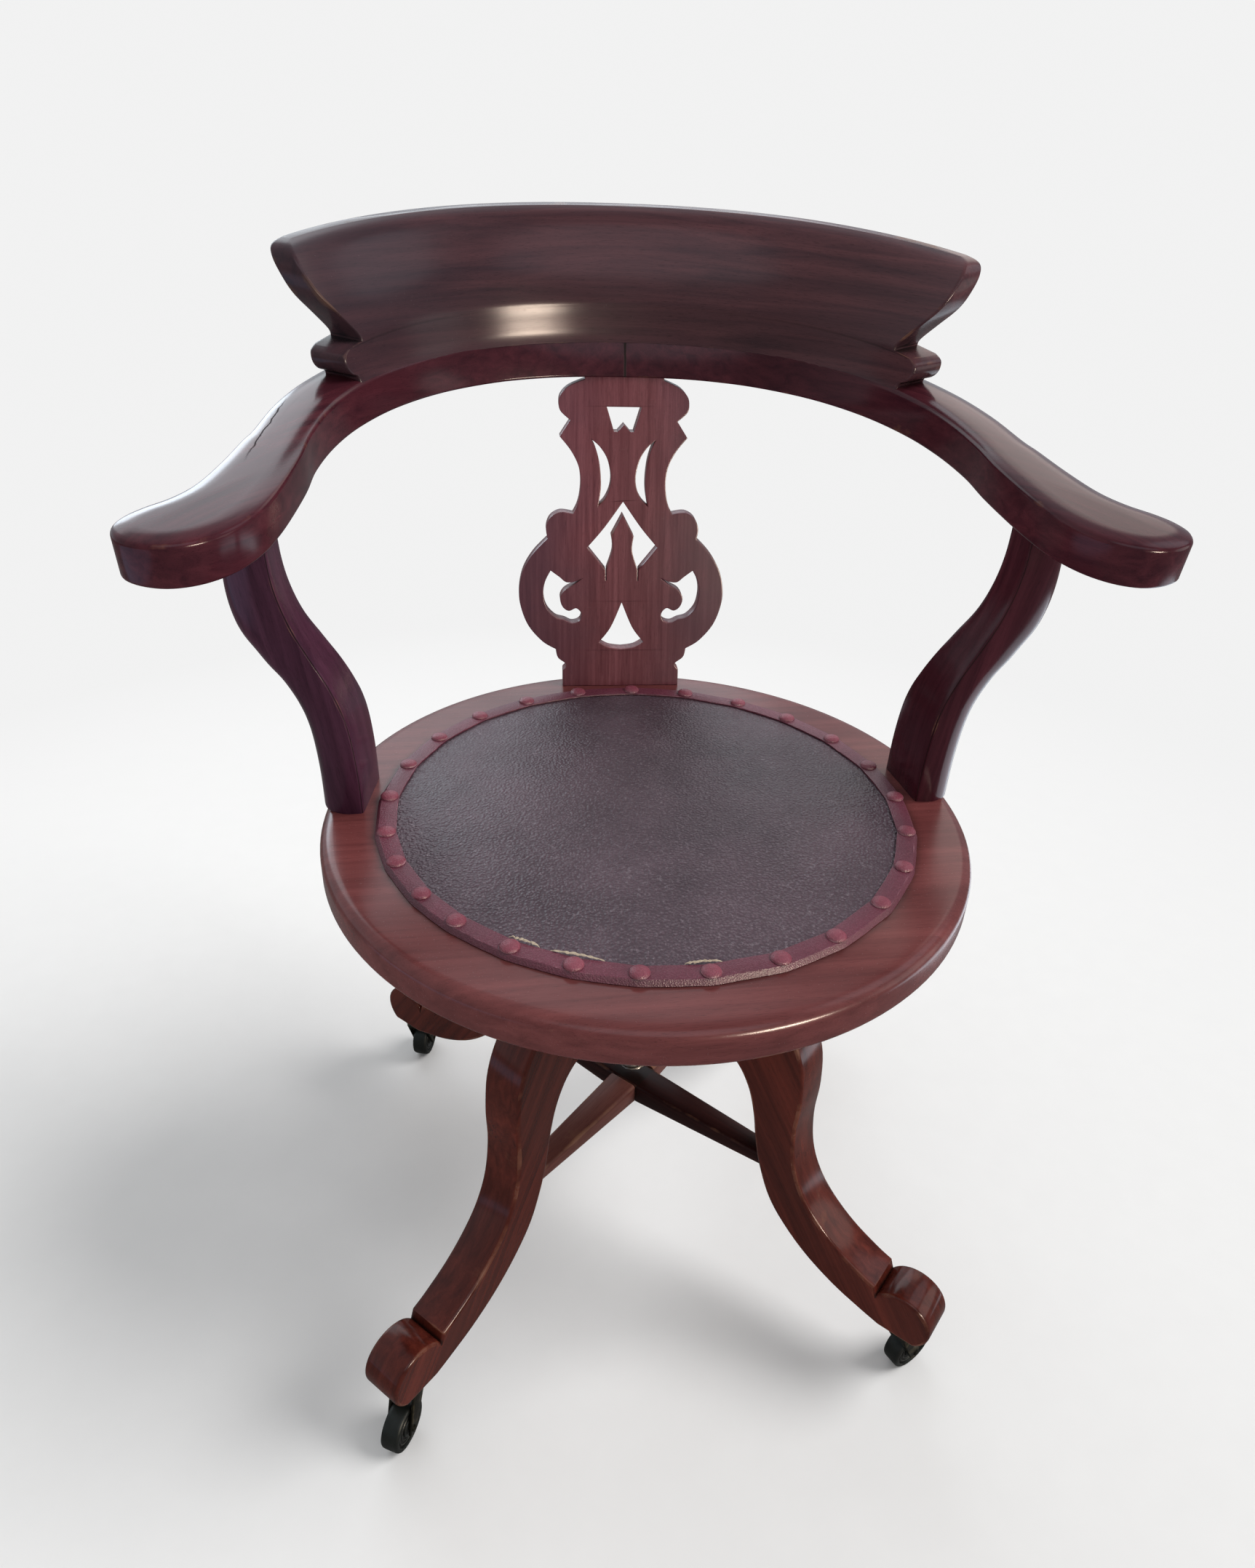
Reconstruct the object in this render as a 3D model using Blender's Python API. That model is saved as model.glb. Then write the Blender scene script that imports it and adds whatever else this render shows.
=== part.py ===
"""Swivel desk chair: bow arm rail, flared crest, pierced splat, round leather seat, four scrolled legs.

Metres, +Z up.  The chair faces -Y and stands on the floor at z = 0.  Shapes are drawn about the swivel axis.
The whole chair is then moved along Y so that the middle of its footprint is at the origin.
"""
import math

import bmesh
import bpy
import numpy
from mathutils import Vector
from mathutils.geometry import interpolate_bezier

# Gap kept between pieces that touch, and play around pins and screws.
CLEARANCE = 0.0003

# Castors: wheel on a trailing fork, pinned under a plate on the foot.
WHEEL_RADIUS = 0.0195
WHEEL_WIDTH = 0.015
WHEEL_TRAIL = 0.013
WHEEL_BOSS = 0.0075
WHEEL_TREAD = 0.004
WHEEL_DISH = 0.0018
AXLE_RADIUS = 0.0025
FORK_STRAP = 0.0026
FORK_LENGTH = 0.017
FORK_CROWN = 0.0046
FORK_GAP = 0.0006
FORK_TAPER = 0.45
PIVOT_RADIUS = 0.004
PIVOT_COLLAR = 0.0035
RIVET_RADIUS = 0.0064
PLATE_RADIUS = 0.0145
PLATE_THICKNESS = 0.003
CASTOR_HEADINGS = {"front_left": -116.0, "front_right": 28.0, "rear_right": 62.0, "rear_left": 75.0}

# Legs, sawn from square stock.  Edges are (distance from the axis, height) points from the hub to the foot.
BASE_TURN = 2.3
LEG_WIDTH = 0.034
LEG_ROUNDING = 0.0022
FOOT_DISTANCE = 0.278
TOE_RADIUS = 0.025
TOE_CENTRE_HEIGHT = 0.0800
TOE_FLAT_HEIGHT = 0.0602
TOE_ARC_START = 133
LEG_TOP_EDGE = (
    (0.048, 0.334), (0.090, 0.338), (0.126, 0.329), (0.150, 0.308), (0.164, 0.280), (0.168, 0.245),
    (0.167, 0.210), (0.171, 0.178), (0.181, 0.153), (0.196, 0.134), (0.217, 0.117), (0.240, 0.105),
    (0.2585, 0.0975),
)
LEG_LOWER_EDGE = (
    (0.048, 0.264), (0.085, 0.263), (0.107, 0.254), (0.121, 0.235), (0.129, 0.210), (0.134, 0.182),
    (0.141, 0.156), (0.153, 0.128), (0.170, 0.107), (0.193, 0.088), (0.220, 0.0735), (0.245, 0.065),
    (0.2625, 0.0602),
)
STRETCHER_TOP = 0.160
STRETCHER_THICKNESS = 0.020
STRETCHER_END_THICKNESS = 0.012
STRETCHER_WIDTH = 0.027
STRETCHER_END_WIDTH = 0.018
STRETCHER_ROUNDING = 0.003

# Hub and lifting screw, stacked from the block upwards.
BLOCK_BOTTOM = 0.252
BLOCK_TOP = 0.3430
HUB_PLATE_RADIUS = 0.046
HUB_PLATE_THICKNESS = 0.008
NUT_RADIUS = 0.041
NUT_HEIGHT = 0.030
NUT_LOBES = 8
NUT_SCALLOP = 0.004
SPINDLE_RADIUS = 0.013
SPINDLE_FOOT = 0.170
COLLAR_RADIUS = 0.024
COLLAR_HEIGHT = 0.010
SWIVEL_PIN_RADIUS = 0.009
SPIDER_THICKNESS = 0.014
SPIDER_HUB_RADIUS = 0.040
SPIDER_ARM_WIDTH = 0.030
SCREW_RADIUS = 0.0025
SCREW_HEAD_RADIUS = 0.005
SCREW_HEAD_HEIGHT = 0.003
SCREW_DEPTH = 0.018

# Round seat: wooden ring, panel in its opening, leather nailed down under a band.
# The rim is the width of wood that shows outside the band.
SEAT_RADIUS = 0.240
SEAT_RIM = 0.040
SEAT_THICKNESS = 0.028
SEAT_OPENING = 0.150
SEAT_TOP_ROUNDING = 0.008
SEAT_LOWER_ROUNDING = 0.004
PANEL_THICKNESS = 0.012
BAND_RADIUS = SEAT_RADIUS - SEAT_RIM
BAND_WIDTH = 0.014
BAND_THICKNESS = 0.0014
LEATHER_EDGE = 0.0022
LEATHER_CROWN = 0.0085
LEATHER_FULLNESS = 2.4
NAIL_COUNT = 26
NAIL_RADIUS = 0.0060
NAIL_HEIGHT = 0.0030

# Arm bow: two sawn halves on a plane that rises to the back.  Plan points are on that plane.
ARM_RISE = 0.249
ARM_SLOPE = 8.5
ARM_THICKNESS = 0.028
ARM_ROUNDING = 0.0035
BOW_HALF_WIDTH = 0.230
BOW_DEPTH = 0.244
BOW_MIDDLE = 0.030
BOW_SQUARENESS = 2.3
BOW_WIDTH_BACK = 0.048
BOW_WIDTH_SIDE = 0.040
BOW_LEAN = 0.006
BOW_STATIONS = (0, 13, 26, 39, 52, 64, 74, 83)
ARM_END = (
    (0.2305, 0.035), (0.2345, 0.000), (0.239, -0.028), (0.245, -0.051), (0.256, -0.072), (0.271, -0.086),
    (0.288, -0.092), (0.304, -0.090), (0.317, -0.082), (0.322, -0.069), (0.319, -0.056), (0.311, -0.044),
    (0.298, -0.030), (0.2875, -0.011), (0.279, 0.021), (0.2725, 0.055),
)

# Crest rail on the bow: (height, front, back) of its section, outwards from the bow's inner edge,
# and (height, degrees round the bow from the back) of its sawn ends: knob, notch and swept tip.
CREST_SECTION = (
    (0.000, 0.0055, 0.0440), (0.012, 0.006, 0.0450), (0.030, 0.010, 0.0475), (0.050, 0.018, 0.0520),
    (0.068, 0.029, 0.0590), (0.080, 0.038, 0.0655), (0.086, 0.045, 0.0675), (0.089, 0.053, 0.0630),
)
CREST_END = (
    (0.0000, 59.2), (0.0035, 59.4), (0.0070, 60.9), (0.0115, 61.8), (0.0165, 62.0), (0.0205, 61.6),
    (0.0230, 60.2), (0.0240, 55.8), (0.0290, 56.1), (0.0420, 58.5), (0.0530, 60.5), (0.0610, 61.4),
    (0.0700, 61.7), (0.0780, 61.5), (0.0840, 60.8), (0.0875, 59.6), (0.0890, 57.8),
)
CREST_END_THINNING = 0.26
CREST_TURN = 1.0
CREST_STEPS = 10

# Arm supports: S-shaped posts whose inner face goes from the band's margin out under the arm.
# The line is (share of height, share of that sweep), the taper (share of height, share of depth),
# the swell (share of height, share of thickness), the advance (share of height, step to the front).
# The section is (share of thickness from the inner face, share of depth from the front).
SUPPORT_AZIMUTH = 7.5
SUPPORT_THICKNESS = 0.033
SUPPORT_FOOT_DEPTH = 0.053
SUPPORT_FRONT = -0.0265
SUPPORT_MARGIN = 0.0085
SUPPORT_HEAD_INSET = 0.022
SUPPORT_TAPER = ((0.00, 1.000), (0.25, 0.962), (0.40, 0.830), (0.55, 0.679), (0.70, 0.530), (1.00, 0.500))
SUPPORT_SWELL = ((0.00, 1.00), (0.40, 1.00), (0.52, 1.09), (0.64, 1.18), (0.78, 1.09), (1.00, 0.86))
SUPPORT_ADVANCE = ((0.00, 0.000), (0.35, 0.000), (0.85, 0.008), (1.00, 0.008))
SUPPORT_SECTION = (
    (0.00, 0.96), (0.00, 0.05), (0.06, 0.01), (0.42, -0.03), (0.76, 0.05), (0.95, 0.22), (1.00, 0.45),
    (1.00, 0.84), (0.88, 1.00), (0.12, 1.00),
)
SUPPORT_LINE = (
    (0.00, 0.000), (0.14, 0.016), (0.28, 0.080), (0.38, 0.191), (0.47, 0.356), (0.56, 0.575),
    (0.66, 0.793), (0.77, 0.943), (0.88, 0.995), (1.00, 1.000),
)

# Back splat: thin pierced board that leans from behind the band to the underside of the bow.
# Points are (half width, height above the seat).
SPLAT_MARGIN = 0.0115
SPLAT_HEAD_INSET = 0.0093
SPLAT_THICKNESS = 0.011
SPLAT_HEIGHT = 0.2605
SPLAT_EDGE = (
    ((0.0530, 0.000), (0.0530, 0.0140)),
    ((0.0530, 0.0140), (0.0497, 0.0193), (0.0573, 0.0255), (0.0594, 0.0333)),
    ((0.0594, 0.0333), (0.0713, 0.0403), (0.0838, 0.0545), (0.0904, 0.0716), (0.0915, 0.0859),
     (0.0878, 0.1020), (0.0789, 0.1165), (0.0660, 0.1293)),
    ((0.0660, 0.1293), (0.0672, 0.1380), (0.0637, 0.1467), (0.0551, 0.1515), (0.0437, 0.1502)),
    ((0.0437, 0.1502), (0.0403, 0.1565), (0.0379, 0.1650), (0.0370, 0.1778), (0.0392, 0.1900),
     (0.0456, 0.2020), (0.0550, 0.2130)),
    ((0.0550, 0.2130), (0.0465, 0.2260)),
    ((0.0465, 0.2260), (0.0557, 0.2330), (0.0575, 0.2395), (0.0557, 0.2460), (0.0480, 0.2525),
     (0.0335, 0.2580)),
    ((0.0335, 0.2580), (0.0335, 0.2605)),
)
WINDOW_EDGE = (
    ((0.0000, 0.2370), (0.0149, 0.2370)), ((0.0149, 0.2370), (0.0085, 0.2172)),
    ((0.0085, 0.2172), (0.0055, 0.2172)), ((0.0055, 0.2172), (0.0000, 0.2230)),
)
ARROW_EDGE = (
    ((0.0000, 0.1605), (0.0160, 0.1390), (0.0311, 0.1220)), ((0.0311, 0.1220), (0.0141, 0.1020)),
    ((0.0141, 0.1020), (0.0087, 0.1190), (0.0099, 0.1315)), ((0.0099, 0.1315), (0.0000, 0.1495)),
)
FLAME_EDGE = (
    ((0.0000, 0.0745), (0.0097, 0.0526), (0.0203, 0.0392)),
    ((0.0203, 0.0392), (0.0116, 0.0345), (0.0000, 0.0328)),
)
SLIT_EDGE = (
    ((0.0251, 0.2108), (0.0152, 0.2003), (0.0107, 0.1865), (0.0113, 0.1740), (0.0155, 0.1635),
     (0.0215, 0.1570)),
    ((0.0215, 0.1570), (0.0196, 0.1705), (0.0199, 0.1865), (0.0251, 0.2108)),
)
CURL_EDGE = (
    ((0.0343, 0.0980), (0.0429, 0.0925), (0.0505, 0.0942), (0.0600, 0.1020), (0.0657, 0.0925),
     (0.0674, 0.0810), (0.0650, 0.0697), (0.0583, 0.0602), (0.0488, 0.0583), (0.0392, 0.0620),
     (0.0364, 0.0668)),
    ((0.0364, 0.0668), (0.0430, 0.0664), (0.0516, 0.0690), (0.0541, 0.0773), (0.0488, 0.0850),
     (0.0373, 0.0925), (0.0343, 0.0980)),
)

# Heights that follow from the stack of pieces on the hub block.
HUB_PLATE_FLOOR = BLOCK_TOP + CLEARANCE
NUT_FLOOR = HUB_PLATE_FLOOR + HUB_PLATE_THICKNESS + CLEARANCE
COLLAR_FLOOR = NUT_FLOOR + NUT_HEIGHT + CLEARANCE
SPIDER_FLOOR = COLLAR_FLOOR + COLLAR_HEIGHT + CLEARANCE
SEAT_FLOOR = SPIDER_FLOOR + SPIDER_THICKNESS + CLEARANCE
SEAT_TOP = SEAT_FLOOR + SEAT_THICKNESS
ARM_TOP = SEAT_TOP + ARM_RISE
SCREW_DISTANCE = (SEAT_OPENING + BAND_RADIUS) / 2


def smooth_run(points, steps=2):
    """Points along a smooth curve through the given ones."""
    knots = [Vector((x, y, 0.0)) for x, y in points]
    run = []
    for i in range(len(knots) - 1):
        start, end = knots[i], knots[i + 1]
        before, after = knots[max(i - 1, 0)], knots[min(i + 2, len(knots) - 1)]
        leaving = start + (end - before) / 6
        arriving = end - (after - start) / 6
        run += interpolate_bezier(start, leaving, arriving, end, steps + 1)[:-1]
    run.append(knots[-1])
    return [(point.x, point.y) for point in run]


def joined_runs(runs, steps=2):
    """One line of points from smooth runs that meet at corners."""
    line = []
    for run in runs:
        bend = steps if len(run) > 2 else 1
        line += smooth_run(run, bend)[:-1]
    line.append(runs[-1][-1])
    return line


def mirrored_outline(half):
    """Closed outline from a half that starts and ends on the middle line or at equal heights."""
    other = [(-x, y) for x, y in reversed(half) if x > 0]
    return half + other


def arc(centre, radius, first, last, steps):
    """Points on a circle between two angles in degrees."""
    angles = [math.radians(first + (last - first) * i / steps) for i in range(steps + 1)]
    return [(centre[0] + radius * math.cos(a), centre[1] + radius * math.sin(a)) for a in angles]


def make_material(name, colour, roughness, metallic=0.0):
    material = bpy.data.materials.new(name)
    material.use_nodes = True
    shader = material.node_tree.nodes["Principled BSDF"]
    shader.inputs["Base Color"].default_value = (*colour, 1.0)
    shader.inputs["Roughness"].default_value = roughness
    shader.inputs["Metallic"].default_value = metallic
    return material


def make_empty(name, parent=None, location=(0, 0, 0), turn=0.0):
    empty = bpy.data.objects.new(name, None)
    bpy.context.scene.collection.objects.link(empty)
    empty.parent = parent
    empty.location = location
    empty.rotation_euler.z = math.radians(turn)
    return empty


def finish(name, bm, material, parent, location=(0, 0, 0), rotation=(0, 0, 0)):
    """Turn the modelled mesh into a placed object."""
    bmesh.ops.recalc_face_normals(bm, faces=bm.faces[:])
    mesh = bpy.data.meshes.new(name)
    bm.to_mesh(mesh)
    bm.free()
    mesh.shade_smooth()
    mesh.set_sharp_from_angle(angle=math.radians(35))
    mesh.materials.append(material)
    piece = bpy.data.objects.new(name, mesh)
    bpy.context.scene.collection.objects.link(piece)
    piece.parent = parent
    piece.location = location
    piece.rotation_euler = [math.radians(angle) for angle in rotation]
    return piece


def lofted(rings):
    """Closed skin over rings of equal length, capped at both ends."""
    bm = bmesh.new()
    loops = [[bm.verts.new(point) for point in ring] for ring in rings]
    for lower, upper in zip(loops, loops[1:]):
        for i in range(len(lower)):
            j = (i + 1) % len(lower)
            bm.faces.new((lower[i], lower[j], upper[j], upper[i]))
    bm.faces.new(loops[0])
    bm.faces.new(loops[-1])
    return bm


def sawn(outline, thickness):
    """Board of even thickness, half of it on each side of its own XY plane."""
    rings = [[(x, y, side * thickness / 2) for x, y in outline] for side in (-1, 1)]
    return lofted(rings)


def pierced(outline, holes, thickness):
    """Board with openings, standing on its own XY plane."""
    bm = bmesh.new()
    for loop in (outline, *holes):
        corners = [bm.verts.new((x, y, 0.0)) for x, y in loop]
        for i, corner in enumerate(corners):
            bm.edges.new((corners[i - 1], corner))
    bmesh.ops.triangle_fill(bm, use_beauty=True, edges=bm.edges[:])
    skin = bmesh.ops.extrude_face_region(bm, geom=bm.faces[:])
    lifted = [item for item in skin["geom"] if isinstance(item, bmesh.types.BMVert)]
    bmesh.ops.translate(bm, verts=lifted, vec=(0, 0, thickness))
    return bm


def turned(profile, steps, ring=False):
    """Solid of revolution about Z from (radius, height) points."""
    bm = bmesh.new()
    corners = [bm.verts.new((radius, 0.0, height)) for radius, height in profile]
    edges = [bm.edges.new(pair) for pair in zip(corners, corners[1:])]
    if ring:
        edges.append(bm.edges.new((corners[-1], corners[0])))
    bmesh.ops.spin(
        bm, geom=corners + edges, cent=(0, 0, 0), axis=(0, 0, 1), angle=math.tau, steps=steps, use_merge=True
    )
    bmesh.ops.remove_doubles(bm, verts=bm.verts[:], dist=1e-6)
    return bm


def add_bevel(piece, width, segments=2):
    bevel = piece.modifiers.new("rounded_edges", "BEVEL")
    bevel.width = width
    bevel.segments = segments
    bevel.limit_method = "ANGLE"
    bevel.angle_limit = math.radians(40)


def add_boolean(piece, operand, operation):
    operand.hide_render = True
    operand.display_type = "WIRE"
    boolean = piece.modifiers.new(operation.lower(), "BOOLEAN")
    boolean.operation = operation
    boolean.object = operand


def make_castor(corner, foot, material, wheel_material):
    """Plate with its pivot pin, fork, axle and wheel under one foot."""
    wheel_top = 2 * WHEEL_RADIUS
    plate_top = TOE_FLAT_HEIGHT - CLEARANCE
    collar_top = plate_top - PLATE_THICKNESS
    crown_top = collar_top - PIVOT_COLLAR - CLEARANCE
    crown_floor = crown_top - FORK_CROWN
    rivet_floor = crown_floor - CLEARANCE - (crown_floor - wheel_top) / 3
    plate = (
        (0, plate_top), (PLATE_RADIUS, plate_top), (PLATE_RADIUS, collar_top), (2 * PIVOT_RADIUS, collar_top),
        (2 * PIVOT_RADIUS, crown_top + CLEARANCE), (PIVOT_RADIUS, crown_top + CLEARANCE),
        (PIVOT_RADIUS, crown_floor - CLEARANCE), (RIVET_RADIUS, crown_floor - CLEARANCE),
        (RIVET_RADIUS, rivet_floor), (0, rivet_floor),
    )
    finish("castor_plate_" + corner, turned(plate, 12), material, foot)

    pivot = make_empty("castor_pivot_" + corner, foot, turn=CASTOR_HEADINGS[corner] - BASE_TURN)
    inner = WHEEL_WIDTH / 2 + FORK_GAP
    outer = inner + FORK_STRAP
    cheek_floor = WHEEL_RADIUS - 2 * AXLE_RADIUS
    strap = (
        (-outer, crown_top), (-outer, cheek_floor), (-inner, cheek_floor), (-inner, crown_floor),
        (inner, crown_floor), (inner, cheek_floor), (outer, cheek_floor), (outer, crown_top),
    )
    rings = []
    for edge in (-0.5, 0.5):
        ring = []
        for across, height in strap:
            fall = max(0.0, min((crown_floor - height) / (crown_floor - WHEEL_RADIUS), 1.0))
            forward = edge * FORK_LENGTH * (1 - FORK_TAPER * fall) + WHEEL_TRAIL * fall
            ring.append((forward, across, height))
        rings.append(ring)
    fork = finish("castor_fork_" + corner, lofted(rings), material, pivot)

    axle_spot = (WHEEL_TRAIL, 0, WHEEL_RADIUS)
    hole_radius = AXLE_RADIUS + CLEARANCE
    half_cut = outer + 2 * FORK_STRAP
    drill = turned(((0, half_cut), (hole_radius, half_cut), (hole_radius, -half_cut), (0, -half_cut)), 12)
    axle_hole = finish("axle_hole_" + corner, drill, material, pivot, axle_spot, (90, 0, 0))
    add_boolean(fork, axle_hole, "DIFFERENCE")
    pin_radius = PIVOT_RADIUS + CLEARANCE
    pin_cut = ((0, plate_top), (pin_radius, plate_top), (pin_radius, wheel_top), (0, wheel_top))
    add_boolean(fork, finish("pivot_hole_" + corner, turned(pin_cut, 12), material, pivot), "DIFFERENCE")

    reach = outer + AXLE_RADIUS / 2
    axle = ((0, reach), (AXLE_RADIUS, reach), (AXLE_RADIUS, -reach), (0, -reach))
    finish("castor_axle_" + corner, turned(axle, 12), material, pivot, axle_spot, (90, 0, 0))
    half = WHEEL_WIDTH / 2
    rim = WHEEL_RADIUS - WHEEL_TREAD
    wheel = (
        (hole_radius, half), (WHEEL_BOSS, half), (WHEEL_BOSS, half - WHEEL_DISH), (rim, half - WHEEL_DISH),
        (rim, half), (WHEEL_RADIUS - WHEEL_DISH, half), (WHEEL_RADIUS, half - WHEEL_DISH),
    )
    profile = list(wheel) + [(radius, -height) for radius, height in reversed(wheel)]
    wheel_shape = turned(profile, 20, ring=True)
    finish("castor_wheel_" + corner, wheel_shape, wheel_material, pivot, axle_spot, (90, 0, 0))


def make_leg(corner, azimuth, frame, material):
    """Scrolled leg sawn in its own upright plane, from the hub block out to the toe."""
    toe = (FOOT_DISTANCE, TOE_CENTRE_HEIGHT)
    flat_angle = math.degrees(math.asin((TOE_FLAT_HEIGHT - TOE_CENTRE_HEIGHT) / TOE_RADIUS))
    outline = smooth_run(LEG_TOP_EDGE)
    outline += arc(toe, TOE_RADIUS, TOE_ARC_START, flat_angle, 12)
    outline += reversed(smooth_run(LEG_LOWER_EDGE))
    leg = finish("leg_" + corner, sawn(outline, LEG_WIDTH), material, frame, rotation=(90, 0, azimuth))
    add_bevel(leg, LEG_ROUNDING, 1)


def make_stretcher(name, azimuth, notch_side, frame, material):
    """Bar between two opposite legs, tapered to its ends and halved where the two bars cross."""
    floor = STRETCHER_TOP - STRETCHER_THICKNESS
    end_floor = STRETCHER_TOP - STRETCHER_END_THICKNESS
    middle = (STRETCHER_TOP + floor) / 2 - notch_side * CLEARANCE / 2
    heights, distances = zip(*sorted((z, r) for r, z in smooth_run(LEG_LOWER_EDGE)))
    reach_low, reach_high = numpy.interp((end_floor, STRETCHER_TOP), heights, distances) - 2 * CLEARANCE
    half_notch = STRETCHER_WIDTH / 2 + CLEARANCE
    notch = ((half_notch, None), (half_notch, middle), (-half_notch, middle), (-half_notch, None))
    top = [(reach_high, STRETCHER_TOP), (-reach_high, STRETCHER_TOP)]
    bottom = [(-reach_low, end_floor), (-half_notch, floor), (half_notch, floor), (reach_low, end_floor)]
    if notch_side > 0:
        cut = [(x, STRETCHER_TOP if z is None else z) for x, z in notch]
        outline = top[:1] + cut + top[1:] + bottom
    else:
        cut = [(-x, floor if z is None else z) for x, z in notch]
        top[1:1] = [(half_notch, STRETCHER_TOP), (-half_notch, STRETCHER_TOP)]
        outline = top + bottom[:1] + cut + bottom[-1:]
    bm = sawn(outline, STRETCHER_WIDTH)
    for vert in bm.verts:
        if abs(vert.co.x) > half_notch + CLEARANCE:
            vert.co.z *= STRETCHER_END_WIDTH / STRETCHER_WIDTH
    bar = finish(name, bm, material, frame, rotation=(90, 0, azimuth))
    add_bevel(bar, STRETCHER_ROUNDING, 1)


def make_hub(frame, wood, iron):
    """Eight-sided block that the legs meet, and the iron plate on it that carries the nut."""
    face = LEG_TOP_EDGE[0][0] - CLEARANCE
    corner_radius = face / math.cos(math.pi / 8)
    bore = SPINDLE_RADIUS + 2 * CLEARANCE
    block = bmesh.new()
    height = BLOCK_TOP - BLOCK_BOTTOM
    bmesh.ops.create_cone(
        block, cap_ends=True, segments=8, radius1=corner_radius, radius2=corner_radius, depth=height
    )
    middle = (BLOCK_TOP + BLOCK_BOTTOM) / 2
    block_piece = finish("hub_block", block, wood, frame, (0, 0, middle), (0, 0, 22.5))
    drill = turned(((0, BLOCK_TOP), (bore, BLOCK_TOP), (bore, -BLOCK_TOP), (0, -BLOCK_TOP)), 24)
    add_boolean(block_piece, finish("block_bore", drill, wood, frame), "DIFFERENCE")
    top = HUB_PLATE_FLOOR + HUB_PLATE_THICKNESS
    rim = HUB_PLATE_RADIUS - HUB_PLATE_THICKNESS / 4
    plate = ((bore, top), (rim, top), (HUB_PLATE_RADIUS, top - HUB_PLATE_THICKNESS / 4),
             (HUB_PLATE_RADIUS, HUB_PLATE_FLOOR), (bore, HUB_PLATE_FLOOR))
    finish("hub_plate", turned(plate, 32, ring=True), iron, frame)


def make_lift(chair, iron, steel):
    """Lobed nut on the hub plate and the screw spindle that it raises."""
    lobes = []
    for i in range(NUT_LOBES * 8):
        angle = math.tau * i / (NUT_LOBES * 8)
        radius = NUT_RADIUS - NUT_SCALLOP * (1 - math.cos(NUT_LOBES * angle)) / 2
        lobes.append((radius * math.cos(angle), radius * math.sin(angle)))
    bore = arc((0, 0), SPINDLE_RADIUS + CLEARANCE, 0, 360, 24)[:-1]
    finish("adjuster_nut", pierced(lobes, [bore], NUT_HEIGHT), iron, chair, (0, 0, NUT_FLOOR))
    collar_top = COLLAR_FLOOR + COLLAR_HEIGHT
    pin_top = SEAT_FLOOR + SEAT_THICKNESS / 3
    chamfer = SPINDLE_RADIUS / 6
    spindle = (
        (0, pin_top), (SWIVEL_PIN_RADIUS, pin_top), (SWIVEL_PIN_RADIUS, collar_top),
        (COLLAR_RADIUS, collar_top), (COLLAR_RADIUS, COLLAR_FLOOR), (SPINDLE_RADIUS, COLLAR_FLOOR),
        (SPINDLE_RADIUS, SPINDLE_FOOT + chamfer), (SPINDLE_RADIUS - chamfer, SPINDLE_FOOT), (0, SPINDLE_FOOT),
    )
    return finish("lift_spindle", turned(spindle, 24), steel, chair)


def make_spider(seat, iron, steel):
    """Four-armed casting under the seat ring, with its screws; returns the drill for the screw holes."""
    tip = SCREW_DISTANCE + SPIDER_ARM_WIDTH / 2
    half = SPIDER_ARM_WIDTH / 2
    root_angle = math.degrees(math.asin(half / SPIDER_HUB_RADIUS))
    outline = []
    holes = [arc((0, 0), SWIVEL_PIN_RADIUS + CLEARANCE, 0, 360, 20)[:-1]]
    for quarter in range(4):
        turn = 90 * quarter
        outline += arc((0, 0), SPIDER_HUB_RADIUS, turn - 90 + root_angle, turn - root_angle, 5)
        spot = (SCREW_DISTANCE * math.cos(math.radians(turn)), SCREW_DISTANCE * math.sin(math.radians(turn)))
        outline += arc(spot, half, turn - 90, turn + 90, 8)
        holes.append(arc(spot, SCREW_RADIUS + CLEARANCE, 0, 360, 12)[:-1])
    casting = pierced(outline, holes, SPIDER_THICKNESS)
    finish("seat_spider", casting, iron, seat, (0, 0, SPIDER_FLOOR), (0, 0, 45))
    head_top = SPIDER_FLOOR - CLEARANCE
    head_floor = head_top - SCREW_HEAD_HEIGHT
    screw_top = SEAT_FLOOR + SCREW_DEPTH
    screw = (
        (0, screw_top), (SCREW_RADIUS, screw_top - SCREW_RADIUS), (SCREW_RADIUS, head_top),
        (SCREW_HEAD_RADIUS, head_top), (SCREW_HEAD_RADIUS * 0.8, head_floor), (0, head_floor),
    )
    hole_radius = SCREW_RADIUS + CLEARANCE
    hole_top = screw_top + CLEARANCE
    drills = bmesh.new()
    for quarter in range(4):
        turn = math.radians(45 + 90 * quarter)
        spot = Vector((SCREW_DISTANCE * math.cos(turn), SCREW_DISTANCE * math.sin(turn), 0))
        finish(f"spider_screw_{quarter + 1}", turned(screw, 12), steel, seat, spot)
        before = len(drills.verts)
        depth = 2 * SCREW_DEPTH
        bmesh.ops.create_cone(
            drills, cap_ends=True, segments=12, radius1=hole_radius, radius2=hole_radius, depth=depth
        )
        drills.verts.ensure_lookup_table()
        spot.z = hole_top - SCREW_DEPTH
        bmesh.ops.translate(drills, verts=drills.verts[before:], vec=spot)
    return finish("screw_holes", drills, steel, seat)


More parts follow.
